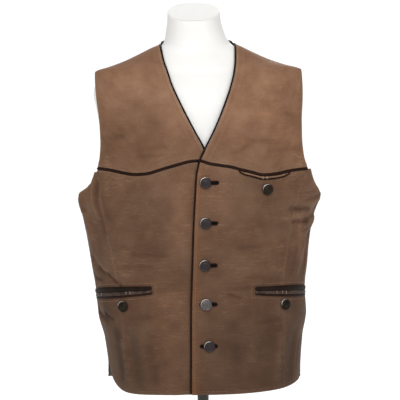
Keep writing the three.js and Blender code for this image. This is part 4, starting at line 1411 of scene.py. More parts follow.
@dataclass(frozen=True)
class EdgeFinish:
    """Finish of one edge of a leather piece.

    Stitch lines run beside the edge at these distances, and the leather rises a little between
    them and the edge.
    """

    kind: EdgeKind
    trim: float = 0.0
    stitches: tuple[float, ...] = ()

    def height(self, distance: Array, along: Array) -> Array:
        """Height of the face near the edge.

        Args:
            distance: Millimetres from the edge.
            along: Millimetres along it.

        Returns:
            Millimetres out of the leather's face.
        """
        drop, reach = {
            EdgeKind.TURNED: (0.9, 2.4),
            EdgeKind.SEAMED: (0.9, 3.2),
            EdgeKind.PIPED: (0.7, 2.6),
        }[self.kind]
        height = -drop * (1 - smoothstep(distance, 0, reach)) ** 1.5
        pull = (
            np.sin(along * 0.52 + 1.3)
            + 0.7 * np.sin(along * 0.83 + 0.4 * np.sin(along * 0.11))
            + 0.5 * np.sin(along * 0.31 + 2.1)
        )
        for line in self.stitches:
            height = height - 0.42 * bell(distance - line, 0.95)
            height = height + 0.13 * pull * bell(distance - line, 5.0)
        if self.kind is EdgeKind.SEAMED:
            height = height + 0.16 * pull * bell(distance, 6.0)
        return height


Places = Callable[[Array, Array], tuple[Array, Array]]
NEAR_EDGE = (0.0, 0.6, 1.3, 2.1, 2.9, 3.7, 4.5, 5.3, 6.2, 7.4)
EDGES = ("first", "last", "bottom", "top")


@dataclass
class LeatherPiece:
    """One cut piece of the vest: a thin shell on its solid's form, with its creases and edges."""

    node: str
    places: Places
    edges: dict[str, EdgeFinish]
    lift: Lift
    shape: VestShape
    spacing: float = 2.8
    flip: bool = False
    columns: Array | None = None
    turn: Array = field(init=False)
    z: Array = field(init=False)
    distance: dict[str, Array] = field(init=False)
    width: float = field(init=False)
    length: float = field(init=False)
    area: float = field(init=False)

    def __post_init__(self) -> None:
        """Lays out the grid of places, trimmed at the edges."""
        if self.columns is None:
            u, v = np.meshgrid(np.linspace(0, 1, 41), np.linspace(0, 1, 81))
            turn, z = self.places(u, v)
            turn, z = self.spread_rows(turn, z)
        else:
            u, v = np.meshgrid(self.columns, np.linspace(0, 1, 121))
            turn, z = self.places(u, v)
        turn, z = (grid.T for grid in self.spread_rows(turn.T, z.T, ("bottom", "top")))
        self.turn, self.z = turn, z
        self.measure()

    def bare(self, turn: Array, z: Array) -> Array:
        """Points of the face without creases and edges."""
        return self.shape.on(turn, z, self.lift(turn, z))

    def spread_rows(
        self, turn: Array, z: Array, ends: tuple[str, str] = ("first", "last")
    ) -> tuple[Array, Array]:
        """Spreads the places of each row evenly, closer beside the two edges that it ends at.

        Args:
            turn: Turns, by row and column.
            z: Heights, by row and column.
            ends: The two edges that the rows run between.

        Returns:
            New turns and heights, by row and column.
        """
        points = self.bare(turn, z)
        step = np.linalg.norm(np.diff(points, axis=1), axis=2)
        reach = np.concatenate([np.zeros((len(points), 1)), np.cumsum(step, axis=1)], axis=1)
        stretch = [self.slant(points, 0), self.slant(points, -1)]
        total = reach[:, -1]
        count = max(4, int(np.median(total) / self.spacing) - 6)
        near = np.array(NEAR_EDGE)
        new_turn = []
        new_z = []
        for i in range(len(points)):
            scale = min(1.0, total[i] / (4 * near[-1]))
            low = self.edges[ends[0]].trim * stretch[0][i]
            high = total[i] - self.edges[ends[1]].trim * stretch[1][i]
            first = low + near * scale * stretch[0][i]
            last = high - near[::-1] * scale * stretch[1][i]
            middle = np.linspace(first[-1], last[0], count + 2)[1:-1]
            at = np.concatenate([first, middle, last])
            new_turn.append(np.interp(at, reach[i], turn[i]))
            new_z.append(np.interp(at, reach[i], z[i]))
        return np.array(new_turn), np.array(new_z)

    @staticmethod
    def slant(points: Array, end: int) -> Array:
        """How much longer a row is than square to the edge that it meets."""
        edge = unit(np.gradient(points[:, end], axis=0))
        beside = points[:, 2] - points[:, 0] if end == 0 else points[:, -1] - points[:, -3]
        dot = np.sum(edge * unit(beside), axis=1)
        return np.clip(1 / np.sqrt(np.maximum(1 - dot**2, 0.05)), 1, 2.2)

    def measure(self) -> None:
        """Works out the distances from the edges and the size of the flat cut."""
        points = self.bare(self.turn, self.z)
        across = np.linalg.norm(np.diff(points, axis=1), axis=2)
        up = np.linalg.norm(np.diff(points, axis=0), axis=2)
        left = np.concatenate([np.zeros((len(points), 1)), np.cumsum(across, axis=1)], axis=1)
        below = np.concatenate([np.zeros((1, points.shape[1])), np.cumsum(up, axis=0)], axis=0)
        turned = points.transpose(1, 0, 2)
        self.distance = {
            "first": left / self.slant(points, 0)[:, None],
            "last": (left[:, -1:] - left) / self.slant(points, -1)[:, None],
            "bottom": below / self.slant(turned, 0)[None, :],
            "top": (below[-1:] - below) / self.slant(turned, -1)[None, :],
        }
        self.cut = np.stack([left, below], axis=-1)
        self.width = float(left[:, -1].max())
        self.length = float(below[-1].max())
        diagonal = np.cross(points[1:, 1:] - points[:-1, :-1], points[1:, :-1] - points[:-1, 1:])
        self.area = float(np.linalg.norm(diagonal, axis=2).sum() / 2)

    def relief(self) -> Array:
        """Height of creases and edges over the bare face."""
        height = self.shape.creases(self.turn, self.z)
        along = {"first": 1, "last": 1, "bottom": 0, "top": 0}
        for name in EDGES:
            height = height + self.edges[name].height(self.distance[name], self.cut[..., along[name]])
        return height

    def wear(self) -> Array:
        """Share of wear: more on ridges and beside free edges, less in troughs."""
        wear = np.clip(self.shape.creases(self.turn, self.z) * 0.28, -0.6, 0.5)
        for name in EDGES:
            finish = self.edges[name]
            reach = 3.0 if finish.kind is EdgeKind.SEAMED else 7.0
            wear = wear + 0.45 * bell(self.distance[name], reach)
            for line in finish.stitches:
                wear = wear - 0.4 * bell(self.distance[name] - line, 1.4)
        return wear

    def rust(self) -> Array:
        """Share of the warmer brown beside the closing edge, where the thread's dye has run."""
        if self.node != "front_left_centre":
            return np.zeros(self.turn.shape)
        uneven = 0.6 + 0.4 * np.sin(self.z * 0.045) * np.sin(self.z * 0.017 + 1)
        return 0.34 * uneven * (1 - smoothstep(self.distance["first"], 6.0, 18.0))

    def line(self, name: str, distance: float, sink: float = 0.1) -> tuple[Array, Array]:
        """Points and normals along an edge, at a distance from it.

        Args:
            name: Edge that the line follows.
            distance: Millimetres from that edge.
            sink: How far the line lies in the leather.

        Returns:
            Points on the face, and the normals there.
        """
        if name in ("first", "last"):
            fields = (self.distance[name], self.turn, self.z, self.relief())
        else:
            fields = tuple(grid.T for grid in (self.distance[name], self.turn, self.z, self.relief()))
        away, turn, z, relief = fields
        order = slice(None, None, -1) if name in ("last", "top") else slice(None)
        picked = [
            [np.interp(distance, row[order], values[i][order]) for values in (turn, z, relief)]
            for i, row in enumerate(away)
        ]
        turn_at, z_at, relief_at = np.array(picked).T
        lift = self.lift(turn_at, z_at) + relief_at - sink
        return self.shape.on(turn_at, z_at, lift), self.shape.normal(turn_at, z_at)

    def build(self, finishes: Finishes) -> bpy.types.Object:
        """Makes the shell: leather outside, lining inside.

        Args:
            finishes: The materials.
        """
        relief = self.relief()
        base = self.lift(self.turn, self.z)
        outer = self.shape.on(self.turn, self.z, base + relief)
        nearest = np.minimum.reduce([self.distance[name] for name in EDGES])
        rolled = 0.5 * (1 - smoothstep(nearest, 0, 1.6))
        creased = self.shape.creases(self.turn, self.z)
        inner = self.shape.on(self.turn, self.z, base + creased - WALL + rolled)
        rows, columns = self.turn.shape
        count = rows * columns
        flip = self.flip
        skin = grid_faces(rows, columns, 0, flip)
        lining = grid_faces(rows, columns, count, not flip)
        loop = self.border(rows, columns)
        following = np.roll(loop, -1)
        wall = np.stack([loop, loop + count, following + count, following], axis=1)
        wall = wall[:, ::-1] if flip else wall
        faces = np.concatenate([skin, lining, wall])
        slots = np.concatenate([np.zeros(len(skin)), np.ones(len(lining)), np.zeros(len(wall))])
        points = np.concatenate([outer.reshape(-1, 3), inner.reshape(-1, 3)])
        materials = [finishes.leather, finishes.lining]
        piece = mesh_piece(f"leather_{self.node}", points, faces.tolist(), materials, slots)
        corner_map(piece, np.concatenate([self.cut.reshape(-1, 2)] * 2))
        shades = {"wear": self.wear(), "shade": self.shape.shade(self.turn, self.z), "rust": self.rust()}
        for name, values in shades.items():
            point_attribute(piece, name, np.concatenate([values.ravel(), np.zeros(count)]))
        return piece

    @staticmethod
    def border(rows: int, columns: int) -> Array:
        """Point numbers round a grid's border, anticlockwise."""
        bottom = np.arange(columns)
        right = np.arange(1, rows) * columns + columns - 1
        top = (rows - 1) * columns + np.arange(columns - 2, -1, -1)
        left = np.arange(rows - 2, 0, -1) * columns
        return np.concatenate([bottom, right, top, left])


@dataclass
class StitchLine:
    """Row of stitches: its points, the leather's normals there, and its thread."""

    points: Array
    normals: Array
    edge_thread: bool = False


@dataclass
class Panels:
    """The seven large leather pieces of the vest."""

    shape: VestShape
    finishes: Finishes
    edge_stitch: float = 6.2
    seam_stitch: float = 4.2
    hem_stitch: float = 7.0
    facing_stitch: float = 15.0
    back_spacing: float = 3.6
    pieces: dict[str, LeatherPiece] = field(default_factory=dict)
    lines: dict[str, list[StitchLine]] = field(default_factory=dict)

    def cut(self) -> None:
        """Lays out each piece with its edges."""
        piped = EdgeFinish(EdgeKind.PIPED, PIPING / 2 + CLEAR, (self.edge_stitch,))
        banded = EdgeFinish(EdgeKind.PIPED, BAND_WIDTH / 2 + CLEAR, (self.seam_stitch,))
        plain = EdgeFinish(EdgeKind.SEAMED, SEAM)
        stitched = EdgeFinish(EdgeKind.SEAMED, SEAM, (self.seam_stitch,))
        turned = EdgeFinish(EdgeKind.TURNED, 0.0, (self.hem_stitch,))
        for side in Side:
            parts = (
                ("centre", self.shape.front_centre, side, (piped, stitched, turned, banded)),
                ("side", self.shape.front_side, Side.LEFT, (plain, plain, turned, turned)),
                ("yoke", self.shape.front_yoke, side, (piped, turned, banded, plain)),
            )
            for word, places, level, finishes in parts:
                node = f"front_{side.word}_{word}"
                edges = dict(zip(EDGES, finishes))
                lift = self.shape.under_lift(level)
                on_side = partial(places, side)
                flip = side is Side.RIGHT
                self.pieces[node] = LeatherPiece(node, on_side, edges, lift, self.shape, flip=flip)
        inset = PIPING / 2 + CLEAR
        self.pieces["back"] = LeatherPiece(
            "back",
            partial(self.shape.back, inset),
            dict(zip(EDGES, (plain, plain, turned, plain))),
            self.shape.vent_flare,
            self.shape,
            spacing=self.back_spacing,
            columns=self.back_columns(inset),
        )

    def back_columns(self, inset: float) -> Array:
        """Shares across the back: close at the side seams, with one at each end of the neckline."""
        half = float(self.shape.armhole["back"](ARMPIT)) * 1.08
        near = 0.0004 + np.array(NEAR_EDGE) / half
        neck = 1 - self.shape.neck_share(inset)
        shoulder = np.linspace(near[-1], neck, 50)[1:]
        middle = np.linspace(neck, 1, 32)[1:]
        half_way = np.concatenate([near, shoulder, middle]) / 2
        return np.concatenate([half_way, 1 - half_way[-2::-1]])

    def build(self) -> dict[str, bpy.types.Object]:
        """Makes the pieces and collects their stitch lines.

        Returns:
            The pieces by node.
        """
        made = {}
        for node, piece in self.pieces.items():
            built = piece.build(self.finishes)
            if node == "front_left_centre":
                cut_buttonholes(built, self.shape)
            made[node] = ride_for(built, "vest_leather", node)
            self.lines[node] = self.stitch_lines(piece)
        return made

    def stitch_lines(self, piece: LeatherPiece) -> list[StitchLine]:
        """Rows of stitches beside the edges of a piece."""
        lines = []
        facing = (self.facing_stitch,) if piece.node.endswith("yoke") else ()
        for name in EDGES:
            for distance in piece.edges[name].stitches + (facing if name == "first" else ()):
                points, normals = piece.line(name, distance)
                short = 6 if name in ("bottom", "top") else 2
                closing = name == "first" and piece.node.startswith("front_left")
                lines.append(StitchLine(points[short:-short], normals[short:-short], closing))
        return lines

    def declare(self) -> None:
        """States the cut of each leather piece."""
        for node, piece in self.pieces.items():
            width, length, area = piece.width * MM, piece.length * MM, piece.area * MM * MM
            min(area, width * length)
            log.info("cut %s: %.0f x %.0f mm, %.4f m2", node, piece.width, piece.length, area)


def slot_outline(length: float, width: float, ends: int) -> Array:
    """Round-ended outline as offsets along and across it, closed, anticlockwise."""
    radius = width / 2
    half = length / 2 - radius
    angle = np.linspace(-math.pi / 2, math.pi / 2, ends)
    right = np.stack([half + radius * np.cos(angle), radius * np.sin(angle)], axis=1)
    return np.concatenate([right, -right])


def cut_buttonholes(piece: bpy.types.Object, shape: VestShape) -> None:
    """Cuts the five slits through the left front.

    Args:
        piece: The left front's centre panel, which gets a new mesh.
        shape: The vest's shape.
    """
    points = []
    faces = []
    for button in FRONT_BUTTONS:
        outline = slot_outline(HOLE_LENGTH, HOLE_SLIT, 7)
        turn = shape.turn_at(button.hole_x, button.z)
        normal = shape.normal(turn, button.z)
        across = unit(np.cross([0.0, 0.0, 1.0], normal))
        up = np.cross(normal, across)
        flat = shape.on(turn, button.z) + outline[:, :1] * across + outline[:, 1:] * up
        rings = np.stack([flat - 6 * normal, flat + 6 * normal])
        start = sum(len(p) for p in points)
        faces.extend([[start + k for k in face] for face in closed_rings(rings)])
        points.append(rings.reshape(-1, 3))
    tool = mesh_piece("slit_tool", np.concatenate(points), faces, [])
    cut = piece.modifiers.new("slits", "BOOLEAN")
    cut.object = tool
    cut.operation = "DIFFERENCE"
    cut.solver = "EXACT"
    mesh = evaluated_copy(piece)
    piece.modifiers.clear()
    old = piece.data
    piece.data = mesh
    bpy.data.meshes.remove(old)
    bpy.data.objects.remove(tool)


@dataclass
class Trim:
    """Piping of the neck and closing, and the dark bands in the yoke seams."""

    shape: VestShape
    finishes: Finishes
    step: float = 3.0
    cord: Sweep = field(default_factory=lambda: Sweep(PIPING - 0.2, PIPING_HEIGHT, round_ends=1.6))
    band_starts: tuple[float, float] = (1.3, -1.4)

    def even(self, turn: Array, z: Array, shorten: float = 0.0) -> tuple[Array, Array]:
        """Spreads places evenly along a path.

        Args:
            turn: Turns of the path.
            z: Heights of the path.
            shorten: How much shorter the path is at each end.

        Returns:
            New turns and heights.
        """
        points = self.shape.section(turn, z)
        reach = np.concatenate([[0], np.cumsum(np.linalg.norm(np.diff(points, axis=0), axis=1))])
        count = int((reach[-1] - 2 * shorten) / self.step)
        at = np.linspace(shorten, reach[-1] - shorten, count)
        return np.interp(at, reach, turn), np.interp(at, reach, z)

    def build(self) -> None:
        """Makes every piping and band."""
        for side in Side:
            self.edge_piping(side)
            self.yoke_band(side)
        self.neck_piping()

    def edge_piping(self, side: Side) -> None:
        """Corded edge of one front, up to the shoulder seam."""
        low = HEM - HEM_DROP if side is Side.LEFT else UNDERLAP_PIPING_START
        edge = self.shape.edge[side]
        ridge = float(self.shape.ridge(edge, np.array(800.0)))
        z = low + (ridge - low) * (1 - (1 - np.linspace(0, 1, 900)) ** 2)
        turn, z = self.even(self.shape.turn_at(edge(z), z), z, 2 * CLEAR)
        lift = self.shape.under_lift(side)(turn, z)
        ripple = 0.12 * np.sin(np.arange(len(z)) * 0.9 + np.sin(np.arange(len(z)) * 0.23))
        path = self.shape.on(turn, z, lift - WALL / 2 + 0.2 + ripple), self.shape.normal(turn, z)
        name, node = f"piping_{side.word}_edge", f"edge_piping_{side.word}"
        self.cord.piece(name, path, self.finishes.piping, node)

    def neck_piping(self) -> None:
        """Corded edge of the back neckline."""
        neck = self.shape.neck_share(0.0)
        u = (1 - np.linspace(neck, -neck, 160)) / 2
        turn, z = self.shape.back(0.0, u, np.ones(len(u)))
        turn[0], turn[-1] = SIDE_SEAM, 3 * SIDE_SEAM
        turn, z = self.even(turn, z, PIPING)
        path = self.shape.on(turn, z, -WALL / 2), self.shape.normal(turn, z)
        self.cord.piece("piping_back_neck", path, self.finishes.piping, "back_neck_piping")

    def yoke_band(self, side: Side) -> None:
        """Dark band let into one yoke seam."""
        start = dict(zip(Side, self.band_starts))[side]
        end_turn, end_z = self.shape.yoke_seam_place(side, np.array(1.0))
        end = float(self.shape.section(end_turn, end_z)[0])
        x = np.linspace(start, end, 400)
        z = self.shape.yoke_seam[side](side.value * x)
        turn, z = self.even(self.shape.turn_at(x, z), z)
        lift = self.shape.under_lift(side)(turn, z)
        normals = self.shape.normal(turn, z)
        path = self.shape.on(turn, z, lift - 0.35), normals
        band = Sweep(BAND_WIDTH, BAND_HEIGHT, squareness=2.6, round_ends=1.2)
        band.piece(f"band_{side.word}_yoke", path, self.finishes.piping, f"yoke_band_{side.word}")
        path = self.shape.on(turn, z, lift - BAND_BACK_DEPTH), normals
        backing = Sweep(BAND_WIDTH + 4.0, 0.8, sides=8)
        backing.piece(f"lining_behind_{side.word}_band", path, self.finishes.lining)


@dataclass
class Pockets:
    """The two lower pockets with their two welts, and the breast pocket under the yoke seam."""

    shape: VestShape
    finishes: Finishes
    frame_gap: float = 5.5
    rubbed_share: float = 0.6
    knot_shares: dict[Side, tuple[float, ...]] = field(
        default_factory=lambda: {Side.LEFT: (0.266, 0.353, 0.41), Side.RIGHT: (0.234, 0.285, 0.72)}
    )
    breast_knots: tuple[float, ...] = (126.5, 135.0)
    lines: list[StitchLine] = field(default_factory=list)
    knots: list[StitchLine] = field(default_factory=list)

    def on(self, turn: Array, z: Array, lift: Array) -> Array:
        """Points on the creased leather, moved out by lift."""
        return self.shape.on(turn, z, self.shape.creases(turn, z) + lift)

    def build(self) -> None:
        """Makes the pockets."""
        for pocket in LOWER_POCKETS:
            self.lower_pocket(pocket)
        self.breast_pocket()

    def lower_pocket(self, pocket: LowerPocket) -> None:
        """Makes one lower pocket, with its dark mouth, knots and stitched frame."""
        word = pocket.side.word
        t = np.linspace(0, 1, 90)
        turn = lerp(float(self.shape.turn_at(pocket.x, pocket.z)), math.radians(pocket.turn), t)
        z = lerp(pocket.z, pocket.to_z, t)
        total = POCKET_INNER + POCKET_SPREAD * (t + np.sin(math.pi * t))
        upper = UPPER_SHARE * total - WELT_SLIT / 2
        lower = (1 - UPPER_SHARE) * total - WELT_SLIT / 2
        normals = self.shape.normal(turn, z)
        lift = ON_PANEL + WELT_BULGE / 2
        top_z = z + (total - upper) / 2
        path = self.on(turn, top_z, lift + 0.1), normals
        rolled = Sweep(1.0, WELT_BULGE, squareness=2.4, round_ends=3.0)
        node = f"pocket_{word}_upper_welt"
        rolled.piece(f"welt_{word}_upper", path, self.finishes.welt, node, scale=upper + 0.3)
        rubbed = self.rubbed_share * lower
        path = self.on(turn, z - total / 2 + lower - rubbed / 2, lift - 0.1), normals
        flat = Sweep(1.0, WELT_BULGE - 0.2, squareness=2.6, round_ends=3.0)
        node = f"pocket_{word}_lower_welt"
        flat.piece(f"welt_{word}_lower", path, self.finishes.lower_welt, node, scale=rubbed + 0.2)
        path = self.on(turn, z - total / 2 + (lower - rubbed) / 2, lift - 0.5), normals
        edge = Sweep(1.0, WELT_BULGE - 1.0, squareness=2.6, round_ends=3.0)
        edge.piece(f"welt_{word}_lower_edge", path, self.finishes.piping, scale=lower - rubbed + 0.4)
        slit_z = z + total / 2 - upper - WELT_SLIT / 2
        inset = slice(2, -2)
        path = self.on(turn[inset], slit_z[inset], 0.9), normals[inset]
        mouth = Sweep(WELT_SLIT + 1.6, 0.8, sides=8, round_ends=1.5)
        mouth.piece(f"mouth_{word}_pocket", path, self.finishes.slit)
        self.frame_stitches(turn, z, total)
        self.pocket_knots(turn, slit_z, self.knot_shares[pocket.side])

    def frame_stitches(self, turn: Array, z: Array, total: Array) -> None:
        """Adds the stitched frame round the two welts, open at the outer end."""
        gap = self.frame_gap
        above = (turn, z + total / 2 + gap)
        below = (turn, z - total / 2 - gap)
        inner_turn = turn[0] - math.copysign(math.radians(gap / FOLD_GIRTH), turn[0])
        rise = np.linspace(below[1][0], above[1][0], 20)
        path_turn = np.concatenate([below[0][::-1], np.full(20, inner_turn), above[0]])
        path_z = np.concatenate([below[1][::-1], rise, above[1]])
        points = self.on(path_turn, path_z, np.full(len(path_z), 0.15))
        self.lines.append(StitchLine(points, self.shape.normal(path_turn, path_z)))

    def pocket_knots(self, turn: Array, z: Array, shares: Sequence[float]) -> None:
        """Adds small pale knots of thread that hold the two welts together."""
        for share in shares:
            at = share * (len(turn) - 1)
            turn_at = np.interp(at, np.arange(len(turn)), turn)
            z_at = np.interp(at, np.arange(len(z)), z)
            span = np.linspace(-4.8, -1.6, 5)
            knot_turn = np.full(5, turn_at)
            points = self.on(knot_turn, z_at + span, np.full(5, ON_PANEL + WELT_BULGE + 0.2))
            self.knots.append(StitchLine(points, self.shape.normal(knot_turn, z_at + span)))

    def along_yoke(self, start: float, end: float, drop: Callable[[Array], Array]) -> tuple[Array, Array]:
        """Places along the left yoke seam between two distances, lower by drop."""
        t = (1 - np.cos(math.pi * np.linspace(0, 1, 60))) / 2
        x = lerp(start, end, t)
        z = self.shape.yoke_seam[Side.LEFT](x) - drop(t)
        return self.shape.turn_at(x, z), z

    def breast_pocket(self) -> None:
        """Makes the breast pocket's brown welt, dark piping and knots."""
        path = (BREAST_START, BREAST_END)
        turn, z = self.along_yoke(*path, lambda t: BREAST_DROP - BREAST_RISE * (2 * t - 1) ** 10)
        rise = np.linspace(3.4, 0.8, 4)
        turn = np.concatenate([np.full(4, turn[0]), turn, np.full(4, turn[-1])])
        z = np.concatenate([z[0] + rise, z, z[-1] + rise[::-1]])
        path = self.on(turn, z, ON_PANEL + BREAST_PIPING / 2 - 0.3), self.shape.normal(turn, z)
        cord = Sweep(BREAST_PIPING, BREAST_PIPING, round_ends=1.4)
        cord.piece("piping_breast_pocket", path, self.finishes.piping, "breast_pocket_piping")
        start = BREAST_START + BREAST_WELT_INSET
        turn, z = self.along_yoke(start, BREAST_END - BREAST_WELT_INSET, lambda t: BREAST_WELT_DROP + 0 * t)
        centres = self.on(turn, z, np.full(len(z), ON_PANEL + BREAST_WELT_HEIGHT / 2 - 0.2))
        welt = Sweep(BREAST_WELT, BREAST_WELT_HEIGHT, squareness=2.8, round_ends=2.0)
        rings = welt.rings(centres, self.shape.normal(turn, z))
        piece = mesh_piece("welt_breast_pocket", rings, closed_rings(rings), [self.finishes.leather])
        corner_map(piece, rings.reshape(-1, 3)[:, [0, 2]])
        count = rings.shape[0] * rings.shape[1]
        point_attribute(piece, "wear", np.full(count, 0.5))
        point_attribute(piece, "shade", np.full(count, 0.95))
        ride_for(piece, "vest_leather", "breast_pocket_welt")
        for x in self.breast_knots:
            level = self.shape.yoke_seam[Side.LEFT](x) - np.linspace(3.6, 7.2, 5)
            knot_turn = self.shape.turn_at(x, level)
            lift = np.full(5, ON_PANEL + BREAST_WELT_HEIGHT + 0.3)
            points = self.on(knot_turn, level, lift)
            self.knots.append(StitchLine(points, self.shape.normal(knot_turn, level)))


@dataclass
class ButtonsAndHoles:
    """Cast metal buttons on thread shanks, and the bound buttonholes behind the front ones."""

    shape: VestShape
    finishes: Finishes
    sides: int = 48
    rim_sides: int = 10
    rim: float = 1.7
    worn_towards: float = 128.0

    def profile(self, shank: float) -> Array:
        """Radius and height from the shank's foot over the rim to the middle of the face."""
        r = BUTTON_DIAMETER / 2
        t = BUTTON_THICKNESS
        return np.array(
            [
                (SHANK_DIAMETER / 2, -shank),
                (SHANK_DIAMETER / 2, -0.4),
                (SHANK_DIAMETER / 2 + 1.2, 0.1),
                (r - 2.2, 0.15),
                (r - 0.9, 0.35),
                (r - 0.25, 0.9),
                (r, 1.5),
                (r - 0.1, 2.2),
                (r - 0.45, 2.7),
                (r - 0.9, 2.92),
                (r - 1.35, 2.8),
                (r - self.rim, 2.45),
                (r - self.rim - 0.5, 2.2),
                (r - self.rim - 1.4, 2.22),
                (r * 0.62, 2.5),
                (r * 0.6, 2.42),
                (r * 0.56, 2.42),
                (r * 0.54, 2.62),
                (r * 0.36, t - 0.3),
                (r * 0.16, t - 0.12),
                (0.35, t - 0.08),
            ]
        )

    def shine(self, profile: Array) -> Array:
        """Where the plating is rubbed bright: the rim and the raised ring."""
        r = BUTTON_DIAMETER / 2
        radius, height = profile.T
        rim = bell(radius - (r - 0.7), 0.8) * (height > 1.2)
        ring = 0.1 * bell(radius - r * 0.62, 0.5) * (height > 1.2)
        return np.clip(rim + ring, 0, 1) * 0.85

    def button(
        self, node: str, x: float, z: float, shank: float, lean: float, lean_up: float, rubbed: float = -0.1
    ) -> None:
        """Makes one button on its shank.

        Args:
            node: Node that it stands for.
            x: Its place across.
            z: Its height.
            shank: Length of its thread shank.
            lean: Degrees that it leans to the wearer's left.
            lean_up: Degrees that it leans up.
            rubbed: How much of its black plating is rubbed off the face.
        """
        profile = self.profile(shank)
        angle = np.arange(self.sides) * 2 * math.pi / self.sides
        circle = np.stack([np.cos(angle), np.sin(angle)], axis=1)
        rings = np.concatenate(
            [
                profile[:, :1, None] * circle[None, :, :],
                np.broadcast_to(profile[:, 1:, None], (len(profile), self.sides, 1)),
            ],
            axis=2,
        )
        turn = self.shape.turn_at(x, z)
        normal = Vector(self.shape.normal(turn, z))
        seat = self.shape.on(turn, z, self.shape.creases(turn, z) + BUTTON_STANDOFF)
        turned = np.array((-normal).to_track_quat("Y", "Z").to_matrix())
        tilt = np.array(Euler((math.radians(-lean_up), 0, math.radians(lean))).to_matrix())
        stand = np.array([[1, 0, 0], [0, 0, -1], [0, 1, 0]], float)
        upright = rings @ stand.T
        is_head = profile[:, 1, None, None] >= -0.5
        placed = np.where(is_head, upright @ tilt.T, upright) @ turned.T + seat
        metal = self.finishes.pocket_metal if node.startswith("pocket") else self.finishes.metal
        piece = mesh_piece(f"button_{node}", placed, closed_rings(placed), [metal])
        worn_side = 0.05 + 0.95 * np.clip(np.cos(angle - math.radians(self.worn_towards)), 0, 1) ** 2
        shine = np.outer(self.shine(profile), worn_side) + rubbed
        point_attribute(piece, "shine", np.clip(shine, 0, 1).ravel())
        ride_for(piece, "button_metal", node)

    def hole(self, number: int, button: FrontButton) -> None:
        """Makes the bound edge of one buttonhole: a rounded dark lip all round the slit."""
        lip = HOLE_RIM + 0.6
        outline = slot_outline(HOLE_LENGTH + lip - 0.6, HOLE_SLIT + lip - 0.6, 9)
        closed = np.concatenate([outline, outline[:1]])
        reach = np.concatenate([[0], np.cumsum(np.linalg.norm(np.diff(closed, axis=0), axis=1))])
        at = np.linspace(0, reach[-1], 97)[:-1]
        x = np.interp(at, reach, closed[:, 0])
        up = np.interp(at, reach, closed[:, 1])
        z = button.z + up
        turn = self.shape.turn_at(button.hole_x + x, z)
        lift = self.shape.creases(turn, z) + ON_PANEL
        centres = self.shape.on(turn, z, lift)
        normals = self.shape.normal(turn, z)
        along = unit(np.roll(centres, -1, axis=0) - np.roll(centres, 1, axis=0))
        across = unit(np.cross(along, normals))
        angle = np.arange(self.rim_sides) * 2 * math.pi / self.rim_sides
        rings = (
            centres[:, None, :]
            + across[:, None, :] * (np.cos(angle) * lip / 2)[None, :, None]
            + normals[:, None, :] * (np.sin(angle) * (HOLE_RIM_HEIGHT + 0.2))[None, :, None]
        )
        name = f"binding_buttonhole_{number}"
        piece = mesh_piece(name, rings, closed_rings(rings, looped=True), [self.finishes.piping])
        ride_for(piece, "dark_trim_leather", f"buttonhole_{number}")

    def lips(self, number: int, button: FrontButton) -> None:
        """Makes the two dark lips that close a buttonhole's slit."""
        lip = Sweep(2.0, 1.9, sides=10, round_ends=2.0)
        x = np.linspace(-1, 1, 24) * (HOLE_LENGTH / 2 - 0.6)
        for word, off in (("upper", 0.98), ("lower", -0.98)):
            z = button.z + off * (1 - 0.25 * (x / x[-1]) ** 6)
            turn = self.shape.turn_at(button.hole_x + x, z)
            centres = self.shape.on(turn, z, self.shape.creases(turn, z) - 0.5)
            path = centres, self.shape.normal(turn, z)
            lip.piece(f"lip_buttonhole_{number}_{word}", path, self.finishes.slit)

    def build(self) -> None:
        """Makes every button and buttonhole."""
        sewn_deep = BUTTON_STANDOFF + UNDERLAP_DROP - CLEAR
        for number, button in enumerate(FRONT_BUTTONS, 1):
            node = f"front_button_{number}"
            self.button(node, button.x, button.z, sewn_deep, button.lean, button.lean_up, button.rubbed)
            self.hole(number, button)
            self.lips(number, button)
        for button in POCKET_BUTTONS:
            shank = BUTTON_STANDOFF - CLEAR
            self.button(button.node, button.x, button.z, shank, button.lean, button.lean_up)


